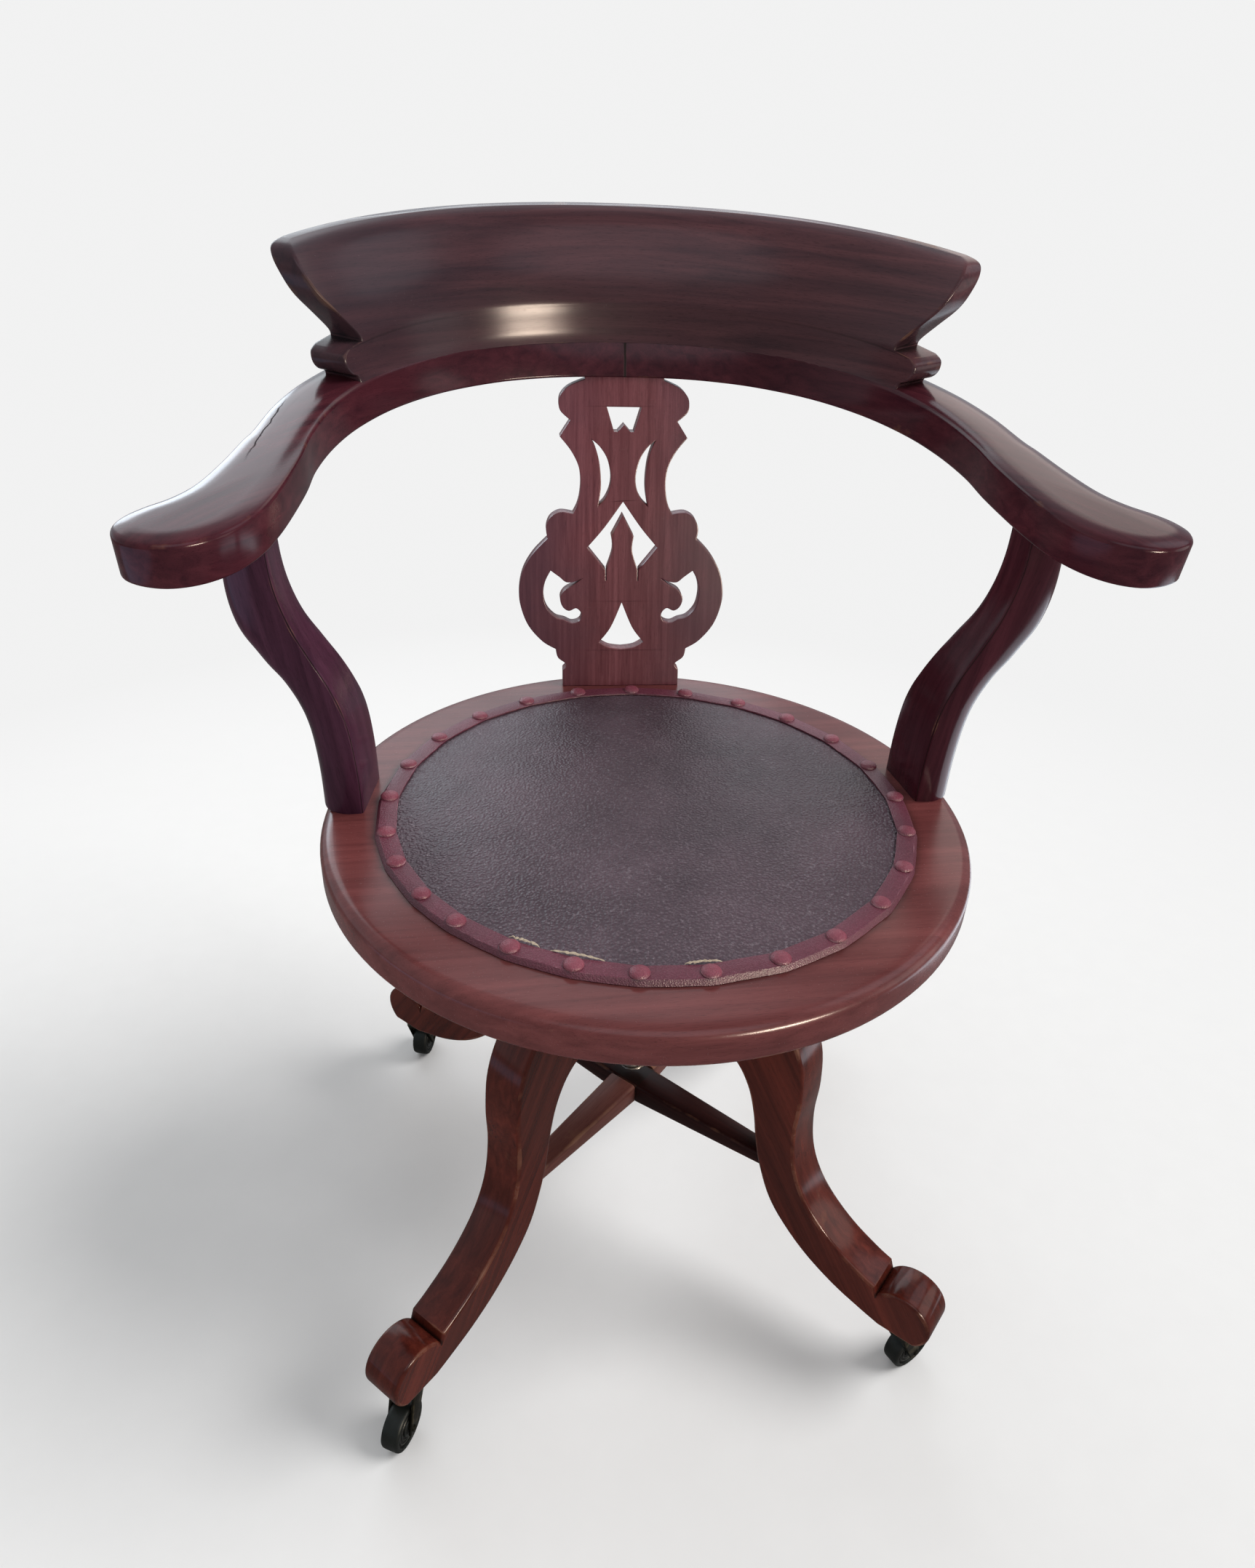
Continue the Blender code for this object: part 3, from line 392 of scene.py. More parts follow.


# The front-left bar gets a paler copy of the finish and the front-right bar a far darker one: painted light on one
# bar, painted shade on the other.
lit_bar_wood = polished_wood(
    "painted_lit_mahogany", (0.120, 0.042, 0.034), (0.230, 0.084, 0.068), (0.26, 0.12, 0.07), 0.60, 0.30, mirror=0.12
)
shaded_bar_wood = polished_wood(
    "painted_shade_mahogany", (0.014, 0.004, 0.004), (0.036, 0.010, 0.009), (0.16, 0.07, 0.04), 0.50, 0.30, mirror=0.10
)
leg_backs = sorted((point.y, point.x) for point in smooth_run(leg_lower_edge, 5))
low_reach, top_reach = (read_off(leg_backs, height) - 2 * gap for height in (bar_top - bar_end_thickness, bar_top))
bar_end, bar_slant = (low_reach + top_reach) / 2, top_reach - low_reach
bar_floor, half_lap = bar_top - bar_thickness, bar_half_width + gap
lap_height = (bar_top + bar_floor) / 2
for name, azimuth, lap_top, lap_floor, bar_wood in (
    ("front_left", 45, lap_height - gap / 2, bar_floor, lit_bar_wood),
    ("front_right", 135, bar_top, lap_height + gap / 2, shaded_bar_wood),
):
    stations = [(-bar_end, bar_top, bar_top - bar_end_thickness, bar_end_half_width, -bar_slant)]
    for share in bar_shares:
        depth = bar_end_thickness + (bar_thickness - bar_end_thickness) * share
        width = bar_end_half_width + (bar_half_width - bar_end_half_width) * share
        stations.append((-bar_end + (bar_end - half_lap) * share, bar_top, bar_top - depth, width, 0.0))
    stations.append((-half_lap, bar_top, bar_floor, bar_half_width, 0.0))
    stations.append((-half_lap, lap_top, lap_floor, bar_half_width, 0.0))
    stations += [(-along, top, low, width, -lean) for along, top, low, width, lean in reversed(stations)]
    turn = base_place(azimuth)
    bar = stacked(name + "_bar", [[turn @ point for point in bar_ring(*station)] for station in stations])
    grain = turn.to_3x3() @ Vector((1, 0, 0))
    fit(bar, "base", "polished_mahogany", bar_wood, "stretcher_" + name, grain=grain, board=azimuth / 9)


# Hub: an eight-sided mahogany block that the legs are dowelled to, with a cast iron plate screwed on top.
# Both are bored for the lifting spindle.
spindle_radius, hub_rounding = 0.013, 0.0020
metal_dirt_and_shade = (0.012, 0.010, 0.008)


def spun(name, profile, steps, middle=(0, 0, 0), closed=True):
    """Turned piece: a line of (radius, height) points spun about the upright axis through the middle."""
    piece = new_shape(name, bpy.ops.mesh.primitive_plane_add, size=0.001, location=(0, 0, 0))
    bpy.ops.object.mode_set(mode="EDIT")
    bpy.ops.mesh.merge(type="CENTER")
    shape = bmesh.from_edit_mesh(piece.data)
    shape.verts.ensure_lookup_table()
    last = profile[0]
    shape.verts[0].co = (last[0], 0, last[1])
    for radius, height in list(profile[1:]) + list(profile[:1] if closed else []):
        step = (radius - last[0], 0, height - last[1])
        bpy.ops.mesh.extrude_vertices_move(TRANSFORM_OT_translate={"value": step})
        last = (radius, height)
    bpy.ops.mesh.select_all(action="SELECT")
    bpy.ops.mesh.remove_doubles(threshold=1e-6)
    bpy.ops.mesh.spin(steps=steps, angle=math.tau, center=(0, 0, 0), axis=(0, 0, 1))
    bpy.ops.mesh.select_all(action="SELECT")
    bpy.ops.mesh.remove_doubles(threshold=1e-6)
    face_outward()
    piece.data.transform(Matrix.Translation(middle))
    return piece


def rounded_profile(corners, rounding, steps=3):
    """Closed (radius, height) profile with its corners rounded."""
    line = [Vector(corner) for corner in corners]
    profile = []
    for i, corner in enumerate(line):
        before, after = line[i - 1] - corner, line[(i + 1) % len(line)] - corner
        cut = min(rounding, before.length * 0.45, after.length * 0.45)
        start, end = corner + before.normalized() * cut, corner + after.normalized() * cut
        for j in range(steps + 1):
            share = j / steps
            profile.append(tuple(start * (1 - share) ** 2 + corner * (2 * share * (1 - share)) + end * share ** 2))
    return profile


def washer(name, bore, radius, low, high, rounding, steps):
    """Turned ring of square section with rounded edges."""
    corners = ((bore, low), (radius, low), (radius, high), (bore, high))
    return spun(name, rounded_profile(corners, rounding), steps)


def metal(name, colour, tarnish, roughness, metallic, wear, bare):
    """Old metal: patchy tarnish, rubbed edges, uneven gloss and a slightly rough cast skin."""
    material, tree, shader = new_finish(name)
    rubbing = add_node(tree, "ShaderNodeGroup", {"Amount": wear, "Patch Size": 0.012}, node_tree=edge_wear).outputs
    hands = add_node(tree, "ShaderNodeGroup", {"Smear Size": 0.015}, node_tree=handling).outputs
    skin = mix_node(tree, hands["Smears"], colour, tarnish)
    # Hollows are darkened: partly grime, partly painted shade.
    skin = layered(tree, skin, (rubbing["Worn"], 0.6, bare), (rubbing["Soiled And Shaded"], 0.8, metal_dirt_and_shade))
    tree.links.new(skin, shader["Base Color"])
    gloss = add_share(tree, rubbing["Worn"], -0.12, add_share(tree, hands["Smears"], 0.22, roughness))
    tree.links.new(gloss, shader["Roughness"])
    shader["Metallic"].default_value = metallic
    add_bump(tree, shader, noise_node(tree, object_place(tree), 900.0, 4.0), 0.25, 0.0003)
    return material


cast_iron = metal("cast_iron", (0.030, 0.030, 0.029), (0.055, 0.042, 0.034), 0.50, 0.75, 0.35, (0.16, 0.15, 0.14))
block_low, block_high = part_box("hub_block")
corner_reach = 1 / math.cos(math.pi / 8)
hub_bore = spindle_radius + 2 * gap
block_radius = leg_top_edge[0][0] - gap
block = washer(
    "hub_wood", hub_bore * corner_reach, block_radius * corner_reach, block_low.z, block_high.z, hub_rounding, 8
)
block.data.transform(base_place(22.5))
fit(block, "base", "polished_mahogany", leg_wood, "hub_block", grain=(0, 0, 1), board=7)
plate_low, plate_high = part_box("hub_plate")
plate_radius = (plate_high.x - plate_low.x) / 2
plate = washer("hub_iron", hub_bore, plate_radius, plate_low.z, plate_high.z, hub_rounding, 64)
plate.data.transform(on_axis)
fit(plate, "base", "cast_iron", cast_iron, "hub_plate")


# Castors: small iron wheels in brass forks that turn on a pin under each toe, trailing as they last rolled.
# The wheels are turned with concentric ridges on their sides; the axles are riveted over at both ends.
castor_headings = {"front_left": -116.0, "front_right": 28.0, "rear_right": 62.0, "rear_left": 75.0}
wheel_radius, wheel_width, wheel_trail = 0.0195, 0.015, 0.013
axle_radius = 0.0025
strap, fork_length, fork_crown = 0.0026, 0.017, 0.0046
plate_thickness, collar_thickness = 0.003, 0.0035
plate_reach, collar_reach, pin_reach, rivet_reach = 0.0145, 0.008, 0.004, 0.0064
fork_brass = metal("fork_brass", (0.036, 0.032, 0.021), (0.014, 0.015, 0.012), 0.36, 0.9, 0.34, (0.36, 0.29, 0.15))
wheel_iron = metal("wheel_iron", (0.022, 0.025, 0.022), (0.010, 0.012, 0.011), 0.34, 0.60, 0.50, (0.16, 0.16, 0.14))
plate_top = toe_flat_height - gap
collar_top = plate_top - plate_thickness
crown_top = collar_top - collar_thickness - gap
crown_floor = crown_top - fork_crown
rivet_top = crown_floor - gap
rivet_floor = rivet_top - (crown_floor - 2 * wheel_radius) / 3
foot_plate = spun("foot_plate", [(0, plate_top)] + rounded_profile((
    (plate_reach, plate_top), (plate_reach, collar_top), (collar_reach, collar_top), (collar_reach, crown_top + gap),
    (pin_reach, crown_top + gap), (pin_reach, rivet_top), (rivet_reach, rivet_top), (rivet_reach, rivet_floor),
), 0.0007, 2) + [(0, rivet_floor)], 40, closed=False)
inner_cheek = wheel_width / 2 + 2 * gap
outer_cheek = inner_cheek + strap
cheek_floor = wheel_radius - 2 * axle_radius
half_bridge = (
    (inner_cheek, crown_floor), (inner_cheek, cheek_floor), (outer_cheek, cheek_floor), (outer_cheek, crown_top)
)
bridge = rounded_profile([(-across, height) for across, height in reversed(half_bridge)] + list(half_bridge), 0.0011)
bridge = [Vector(corner) for corner in bridge]
fork_rings = []
for inset, edge in ((0.0007, -0.5), (0.0003, -0.485), (0.0, -0.455), (0.0, 0.455), (0.0003, 0.485), (0.0007, 0.5)):
    ring = []
    for point in inset_outline(bridge, inset):
        fall = max(0.0, min((crown_floor - point.y) / (crown_floor - wheel_radius), 1.0))
        swell = fork_length * (1 - 0.45 * fall)
        ring.append(Vector((edge * swell + wheel_trail * fall, point.x, point.y)))
    fork_rings.append(ring)
fork = stacked("wheel_fork", fork_rings)
axle_reach = outer_cheek + axle_radius / 2
axle_end = (
    (axle_radius, outer_cheek), (0.0025, outer_cheek - 0.0001), (0.0024, axle_reach - 0.0006), (0.0012, axle_reach),
    (0, axle_reach),
)
axle = spun(
    "wheel_axle", [(radius, -along) for radius, along in reversed(axle_end)] + list(axle_end), 24, closed=False
)
half = wheel_width / 2
ridges = [
    (axle_radius + gap, half - 0.0002), (0.0042, half), (0.0070, half), (0.0076, half - 0.0004),
    (0.0079, half - 0.0016), (0.0092, half - 0.0018), (0.0097, half - 0.0012), (0.0105, half - 0.0011),
    (0.0110, half - 0.0018), (0.0122, half - 0.0018), (0.0127, half - 0.0012), (0.0135, half - 0.0011),
    (0.0140, half - 0.0018), (0.0152, half - 0.0017), (0.0156, half - 0.0004), (0.0162, half),
    (0.0176, half - 0.0001), (0.0187, half - 0.0006), (0.0193, half - 0.0016), (0.0195, half - 0.0032),
]
wheel = spun("ridged_wheel", ridges + [(radius, -height) for radius, height in reversed(ridges)], 64)
lying = Matrix.Translation((wheel_trail, 0, wheel_radius)) @ Matrix.Rotation(math.radians(90), 4, "X")
axle.data.transform(lying)
wheel.data.transform(lying)


def copied(piece, name):
    """Duplicate of a piece, with a mesh of its own."""
    pick(piece)
    bpy.ops.object.duplicate()
    copy = bpy.context.object
    copy.name = copy.data.name = name
    return copy


castor_kit = (
    (foot_plate, "base", "castor_plate_", "aged_brass", fork_brass, False),
    (fork, "castor_", "castor_fork_", "aged_brass", fork_brass, True),
    (axle, "castor_", "castor_axle_", "aged_brass", fork_brass, True),
    (wheel, "wheel_", "castor_wheel_", "blackened_iron", wheel_iron, True),
)
for corner, azimuth in leg_azimuths.items():
    foot = Matrix.Translation(base_place(azimuth) @ Vector((foot_distance, 0, 0)))
    heading = foot @ Matrix.Rotation(math.radians(castor_headings[corner]), 4, "Z")
    for pattern, body, node, slot, finish, turns in castor_kit:
        copy = copied(pattern, f"{corner}_{pattern.name}")
        copy.data.transform(heading if turns else foot)
        fit(copy, body if body == "base" else body + corner, slot, finish, node + corner, reach=0.0008)
for pattern in (foot_plate, fork, axle, wheel):
    bpy.data.objects.remove(pattern)


# Lift: a lobed iron nut turned by hand on the hub plate raises a steel screw with a collar and a swivel pin.
# All of it is hidden by the seat from above.
nut_radius, nut_bore, lobe_start, lobe_depth, lobe_count = 0.041, 0.0133, 0.020, 0.004, 8
thread_depth, thread_pitch, thread_step, thread_sides = 0.0016, 0.005, 0.0007, 36
collar_radius, collar_height, swivel_radius = 0.024, 0.010, 0.009
nut_low, nut_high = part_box("adjuster_nut")
nut = washer("lobed_nut", nut_bore, nut_radius, nut_low.z, nut_high.z, 0.0035, 128)
for vert in nut.data.vertices:
    radius = math.hypot(vert.co.x, vert.co.y)
    share = max(0.0, (radius - lobe_start) / (nut_radius - lobe_start))
    lobe = (1 - math.cos(lobe_count * math.atan2(vert.co.y, vert.co.x))) / 2
    grip = 1 - lobe_depth * lobe * share / radius
    vert.co.x *= grip
    vert.co.y *= grip
nut.data.transform(on_axis)
fit(nut, "nut", "cast_iron", cast_iron, "adjuster_nut")

dull_steel = metal("dull_steel", (0.23, 0.22, 0.21), (0.13, 0.115, 0.10), 0.36, 1.0, 0.45, (0.42, 0.41, 0.40))
collar_floor = nut_high.z + gap
thread_angles = [math.tau * j / thread_sides for j in range(thread_sides)]
thread_rings = []
for i in range(int((collar_floor - spindle_low.z) / thread_step)):
    height = spindle_low.z + thread_step * i
    ring = []
    for angle in thread_angles:
        wave = math.cos(math.tau * (height / thread_pitch - 2 * angle / math.tau))
        radius = spindle_radius - thread_depth * (1 - max(-0.6, min(wave, 0.6)) / 0.6) / 2
        radius -= max(0.0, 0.004 - (height - spindle_low.z)) * 0.6
        ring.append(Vector((radius * math.cos(angle), radius * math.sin(angle), height)))
    thread_rings.append(ring)
collar = rounded_profile((
    (swivel_radius, spindle_high.z), (swivel_radius, collar_floor + collar_height),
    (collar_radius, collar_floor + collar_height), (collar_radius, collar_floor),
), 0.0010)
for radius, height in [(0.0125, collar_floor)] + collar[::-1] + [(0.0085, spindle_high.z)]:
    thread_rings.append([Vector((radius * math.cos(a), radius * math.sin(a), height)) for a in thread_angles])
spindle = stacked("lifting_screw", thread_rings)
spindle.data.transform(on_axis)
fit(spindle, "spindle", "dull_steel", dull_steel, "lift_spindle", reach=0.001)


# Seat spider: a flat four-armed iron casting that carries the seat on the swivel pin.
# Four slotted steel screws hold it to the underside of the seat ring.
spider_bore, spider_radius, spider_rounding = 0.0093, 0.040, 0.0020
spider_arm_start, spider_arm_half_width, screw_distance = 0.030, 0.015, 0.175


def cut_or_join(piece, tool, operation="DIFFERENCE"):
    """Takes a tool's shape out of the piece, or joins it on, and removes the tool."""
    pick(piece)
    bpy.ops.object.modifier_add(type="BOOLEAN")
    piece.modifiers[0].operation = operation
    piece.modifiers[0].object = tool
    bpy.ops.object.modifier_apply(modifier=piece.modifiers[0].name)
    bpy.data.objects.remove(tool)


spider_low, spider_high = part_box("seat_spider")
half_width = spider_arm_half_width
arm_outline = [Vector((0.0, -half_width)), Vector((screw_distance, -half_width))]
for i in range(1, 12):
    angle = math.radians(-90 + 15 * i)
    arm_outline.append(Vector((screw_distance + half_width * math.cos(angle), half_width * math.sin(angle))))
arm_outline += [Vector((screw_distance, half_width)), Vector((0.0, half_width))]
spider = washer("iron_spider", spider_bore, spider_radius, spider_low.z, spider_high.z, spider_rounding, 64)
arm_share = (screw_distance - spider_arm_start) / screw_distance
for quarter in range(4):
    turn = Matrix.Translation((0, 0, (spider_low.z + spider_high.z) / 2))
    turn = turn @ Matrix.Rotation(math.radians(45 + 90 * quarter), 4, "Z")
    rings = []
    for inset, height in rounded_levels(spider_high.z - spider_low.z, spider_rounding):
        ring = []
        for point in inset_outline(arm_outline, inset):
            if point.x < screw_distance:
                point = Vector((spider_arm_start, 0)) + point * arm_share
            ring.append(turn @ point.to_3d() + Vector((0, 0, height)))
        rings.append(ring)
    cut_or_join(spider, stacked("spider_arm", rings), "UNION")
spider.data.transform(on_axis)
fit(spider, "seat", "cast_iron", cast_iron, "seat_spider")
for number in range(1, 5):
    screw_low, screw_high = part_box(f"spider_screw_{number}")
    middle = (screw_low + screw_high) / 2
    head_floor = screw_low.z
    screw = spun(f"slotted_screw_{number}", (
        (0, screw_high.z), (0.0025, screw_high.z - 0.003), (0.0025, head_floor + 0.003), (0.0049, head_floor + 0.003),
        (0.0050, head_floor + 0.0022), (0.0042, head_floor + 0.0007), (0.0024, head_floor + 0.0001), (0, head_floor),
    ), 24, closed=False)
    cutter = new_shape("slot_cutter", bpy.ops.mesh.primitive_cube_add, size=1, location=(0, 0, head_floor))
    cutter.data.transform(Matrix.Diagonal((0.014, 0.0011, 0.0022, 1)))
    cut_or_join(screw, cutter)
    screw.data.transform(
        Matrix.Translation((middle.x, middle.y, 0)) @ Matrix.Rotation(math.radians(33 * number), 4, "Z")
    )
    fit(screw, "seat", "dull_steel", dull_steel, f"spider_screw_{number}", reach=0.0008)


# Seat ring: the round mahogany rim, glued up from boards, turned to a soft edge and polished like the arms.
# A plain hardwood panel closes its opening from below, hidden by the leather.
seat_low, seat_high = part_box("seat_ring")
seat_floor, seat_top = seat_low.z, seat_high.z
seat_radius, seat_opening = 0.240, 0.150
top_edge_width, top_edge_depth, lower_edge = 0.010, 0.0085, 0.005
band_shade_reach, band_shade_fade = 0.2015, 0.2045
ring_profile = [(radius, seat_top) for radius in (seat_opening, 0.190, 0.201, 0.204, 0.210)]
ring_profile.append((0.225, seat_top - 0.0001))
for i in range(9):
    angle = math.radians(90 - 90 * i / 8)
    ring_profile.append((
        seat_radius - top_edge_width + top_edge_width * math.cos(angle),
        seat_top - top_edge_depth + (top_edge_depth - 0.0001) * math.sin(angle),
    ))
for i in range(6):
    angle = math.radians(-90 * i / 5)
    ring_profile.append((
        seat_radius - lower_edge + lower_edge * math.cos(angle), seat_floor + lower_edge + lower_edge * math.sin(angle)
    ))
ring_profile += [(0.200, seat_floor), (seat_opening, seat_floor)]
ring_wood = polished_wood(
    "ring_mahogany", (0.118, 0.030, 0.030), (0.184, 0.050, 0.049), (0.28, 0.115, 0.07), 0.34, 0.22, mirror=0.28
)
seat_ring = spun("seat_rim", ring_profile, 160, (0, axis_y, 0))
mark_edges(seat_ring, 0.005)
# The rim's top just outside the band is darkened through the edge marks: partly dirt, partly painted shade beside the
# band.
for vert, bend in zip(seat_ring.data.vertices, seat_ring.data.attributes["edge"].data):
    radius = math.hypot(vert.co.x, vert.co.y - axis_y)
    if vert.co.z > seat_top - 0.0005 and radius < band_shade_fade:
        bend.value = -0.40 if radius < band_shade_reach else -0.14
fit(seat_ring, "seat", "polished_mahogany", ring_wood, "seat_ring", grain=(1, 0.05, 0), board=2)

plain_wood = polished_wood("plain_hardwood", (0.11, 0.058, 0.034), (0.20, 0.11, 0.065), (0.26, 0.15, 0.09), 0.3, 0.55)
panel_low, panel_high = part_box("seat_panel")
panel_edge = rounded_profile([(seat_opening - gap, height) for height in (panel_low.z, panel_high.z)], 0.001)
panel = spun(
    "seat_board", [(0, panel_low.z)] + panel_edge + [(0, panel_high.z)], 96, (0, axis_y, 0), closed=False
)
fit(panel, "seat", "plain_hardwood", plain_wood, "seat_panel", grain=(0, 1, 0), board=4)


# Seat leather: one dark hide stretched over a thin stuffing and nailed down round its edge.
# It is pulled tight, so it only swells a little between the middle and the nails.
leather_low, leather_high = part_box("seat_leather")
leather_rim = leather_low.z + 0.0022
leather_crown = leather_high.z - leather_rim
dome_radius, dome_steps, dome_power, dome_share, swell_share = 0.1815, 27, 2.6, 0.80, 0.22
nailed_radius, cloth_frames = 0.1845, 20
dome = [(0, leather_low.z), (0.150, leather_low.z), (0.1968, leather_low.z), (0.1977, leather_low.z + 0.0008)]
dome += [(0.1975, leather_rim - 0.0004), (0.1965, leather_rim), (0.1920, leather_rim), (0.1860, leather_rim)]
for i in range(dome_steps, -1, -1):
    radius = dome_radius * i / dome_steps
    dome.append((radius, leather_rim + dome_share * leather_crown * (1 - (radius / dome_radius) ** dome_power)))
leather = spun("seat_cover", dome, 156, (0, axis_y, 0), closed=False)
held = leather.vertex_groups.new(name="held")
for vert in leather.data.vertices:
    radius = math.hypot(vert.co.x, vert.co.y - axis_y)
    if radius > nailed_radius or vert.co.z < leather_rim - 0.0001:
        held.add([vert.index], 1.0, "REPLACE")
start = [vert.co.copy() for vert in leather.data.vertices]
stuffing = leather.modifiers.new("stuffing", "CLOTH")
stuffing.settings.vertex_group_mass = "held"
stuffing.settings.use_pressure = True
stuffing.settings.uniform_pressure_force = 4.0
stuffing.settings.effector_weights.gravity = 0.0
stuffing.settings.tension_stiffness = 40
stuffing.settings.compression_stiffness = 40
stuffing.settings.bending_stiffness = 2.0
stuffing.point_cache.frame_start, stuffing.point_cache.frame_end = 1, cloth_frames
for step in range(1, cloth_frames + 1):
    bpy.context.scene.frame_set(step)
swollen = leather.evaluated_get(bpy.context.evaluated_depsgraph_get())
moved = [vert.co.copy() for vert in swollen.data.vertices]
leather.modifiers.remove(stuffing)
bpy.context.scene.frame_set(1)
rise = max((after - before).length for before, after in zip(start, moved))
for vert, before, after in zip(leather.data.vertices, start, moved):
    vert.co = before + (after - before) * min(1.0, swell_share * leather_crown / max(rise, 1e-6))
pick(leather)
bpy.ops.object.modifier_add(type="SUBSURF")
leather.modifiers[0].levels = leather.modifiers[0].render_levels = 1
bpy.ops.object.modifier_apply(modifier=leather.modifiers[0].name)


def hide(name, dark, pale, speck, grain_size, roughness, wear, worn=(0.3, 0.2, 0.15), bump=0.35):
    """Leather: pebbled grain, pale rubbed specks on the pebbles, darker creases, soft sheen."""
    material, tree, shader = new_finish(name)
    place = object_place(tree)
    pebbles = add_node(tree, "ShaderNodeTexVoronoi", {"Vector": place, "Scale": 1 / grain_size, "Randomness": 1.0})
    pebble = ramp_node(tree, pebbles.outputs["Distance"], 0.15, 0.70)
    cloud = ramp_node(tree, noise_node(tree, place, 14.0, 5.0), 0.35, 0.68)
    flecks = ramp_node(tree, noise_node(tree, place, 1.0 / grain_size, 3.0, 0.7), 0.54, 0.74)
    rubbing = add_node(tree, "ShaderNodeGroup", {"Amount": wear, "Patch Size": 0.01}, node_tree=edge_wear).outputs
    hands = add_node(tree, "ShaderNodeGroup", {"Smear Size": 0.05}, node_tree=handling).outputs
    colour = layered(
        tree, mix_node(tree, cloud, dark, pale),
        (flecks, 0.55, speck), (pebble, 0.35, shaded(dark, 0.4)), (rubbing["Worn"], 0.8, worn),
    )
    tree.links.new(colour, shader["Base Color"])
    gloss = add_share(tree, pebble, 0.12, add_share(tree, hands["Smears"], 0.10, roughness))
    tree.links.new(gloss, shader["Roughness"])
    add_bump(tree, shader, add_share(tree, pebble, -1.0, product(tree, flecks, 0.3)), bump, 0.0005)
    return material


seat_hide = hide(
    "seat_hide", (0.056, 0.030, 0.042), (0.108, 0.064, 0.084), (0.38, 0.32, 0.36), 0.0022, 0.29, 0.2, bump=1.0
)
fit(leather, "seat", "seat_leather", seat_hide, "seat_leather")


# Seat band: a narrow strip of burgundy leather over the hide's edge, pulled straight from nail to nail.
# The nails are domes covered with the same leather; here and there the strip's edge has frayed.
band_radius, band_width, band_thickness = 0.200, 0.014, 0.0014
nail_count, nail_radius, nail_rim, nail_dome = 26, 0.0066, 0.0007, 0.0027
front_nails = [-170.7, -159.3, -146.9, -135.5, -122.5, -110.0, -98.0, -85.0, -71.1, -57.8, -42.5, -28.0, -14.0]
fray_spans = ((-124.5, -117.5), (-115.5, -104.5), (-89.5, -82.0))
fray_steps, fray_sides = 40, 6
band_floor = leather_rim + gap
band_top = band_floor + band_thickness
band_profile = rounded_profile((
    (band_radius - band_width, band_floor), (band_radius - band_thickness, band_floor),
    (band_radius - band_thickness, seat_top + gap), (band_radius + band_thickness, seat_top + gap),
    (band_radius - 0.0012, band_top - 0.0001), (band_radius - band_width * 0.5, band_top + 0.0002),
    (band_radius - band_width, band_top),
), 0.0004)
band = spun("nailed_band", band_profile, nail_count * 12)
back_nails = numpy.linspace(front_nails[-1], front_nails[0] + 360, nail_count - len(front_nails) + 2)[1:-1]
nail_angles = [math.radians(angle) for angle in front_nails + list(back_nails)]
nail_stops = nail_angles + [nail_angles[0] + math.tau]
for vert in band.data.vertices:
    angle = (math.atan2(vert.co.y, vert.co.x) - nail_angles[0]) % math.tau + nail_angles[0]
    radius = math.hypot(vert.co.x, vert.co.y)
    span = max(i for i in range(nail_count) if nail_stops[i] <= angle + 1e-9)
    pitch = nail_stops[span + 1] - nail_stops[span]
    offset = (angle - nail_stops[span]) / pitch - 0.5
    straight = math.cos(pitch / 2) / math.cos(pitch * offset)
    pulled = radius * (1 - 0.75 * (1 - straight))
    pulled += noise.noise((math.cos(angle) * 9, math.sin(angle) * 9, radius * 40)) * 0.0004
    vert.co = (math.cos(angle) * pulled, math.sin(angle) * pulled, vert.co.z)
    if vert.co.z > band_floor + 0.0005:
        vert.co.z += 0.0005 * (1 - abs(2 * offset)) * (0.4 + noise.noise((angle * 4, 0, 3)))
band.data.transform(on_axis)
band_hide = hide(
    "band_hide", (0.105, 0.018, 0.035), (0.180, 0.036, 0.064), (0.30, 0.12, 0.15), 0.0011, 0.32, 0.50,
    (0.36, 0.17, 0.21),
)
fit(band, "seat", "band_leather", band_hide, "seat_band", reach=0.0008)

nail_profile = [(0, -0.0004), (0.0060, -0.0004), (nail_radius, 0.0002), (0.0067, nail_rim)]
for i in range(1, 6):
    angle = math.radians(90 * i / 6)
    nail_profile.append((nail_radius * math.cos(angle), nail_rim + nail_dome * math.sin(angle)))
nail_profile.append((0, nail_rim + nail_dome))
nail = spun("seat_nails", nail_profile, 20, closed=False)
heads = []
for i, angle in enumerate(nail_angles):
    head = copied(nail, "nail_head")
    slip = Vector((noise.noise((i, 0.3, 0)), noise.noise((i, 7.3, 0)), 0)) * 0.0008
    tilt = Matrix.Rotation(0.10 * noise.noise((i, 2.1, 5)), 4, "X")
    tilt = tilt @ Matrix.Rotation(0.10 * noise.noise((i, 4.7, 1)), 4, "Y")
    squash = Matrix.Diagonal((1 + 0.08 * noise.noise((i, 9.1, 2)), 1 + 0.08 * noise.noise((i, 5.5, 8)), 1, 1))
    middle = (band_radius - band_width / 2) * Vector((math.cos(angle), math.sin(angle), 0)) + slip
    head.data.transform(Matrix.Translation((middle.x, middle.y + axis_y, band_top)) @ tilt @ squash)
    heads.append(head)
bpy.data.objects.remove(nail)
pick(heads[0])
for head in heads:
    head.select_set(True)
bpy.ops.object.join()
nails = bpy.context.object
nails.name = nails.data.name = "seat_nails"
nail_hide = hide(
    "nail_hide", (0.200, 0.034, 0.058), (0.290, 0.064, 0.096), (0.46, 0.20, 0.24), 0.0009, 0.26, 0.60,
    (0.50, 0.28, 0.32),
)
fit(nails, "seat", "band_leather", nail_hide, "seat_band", reach=0.0012)

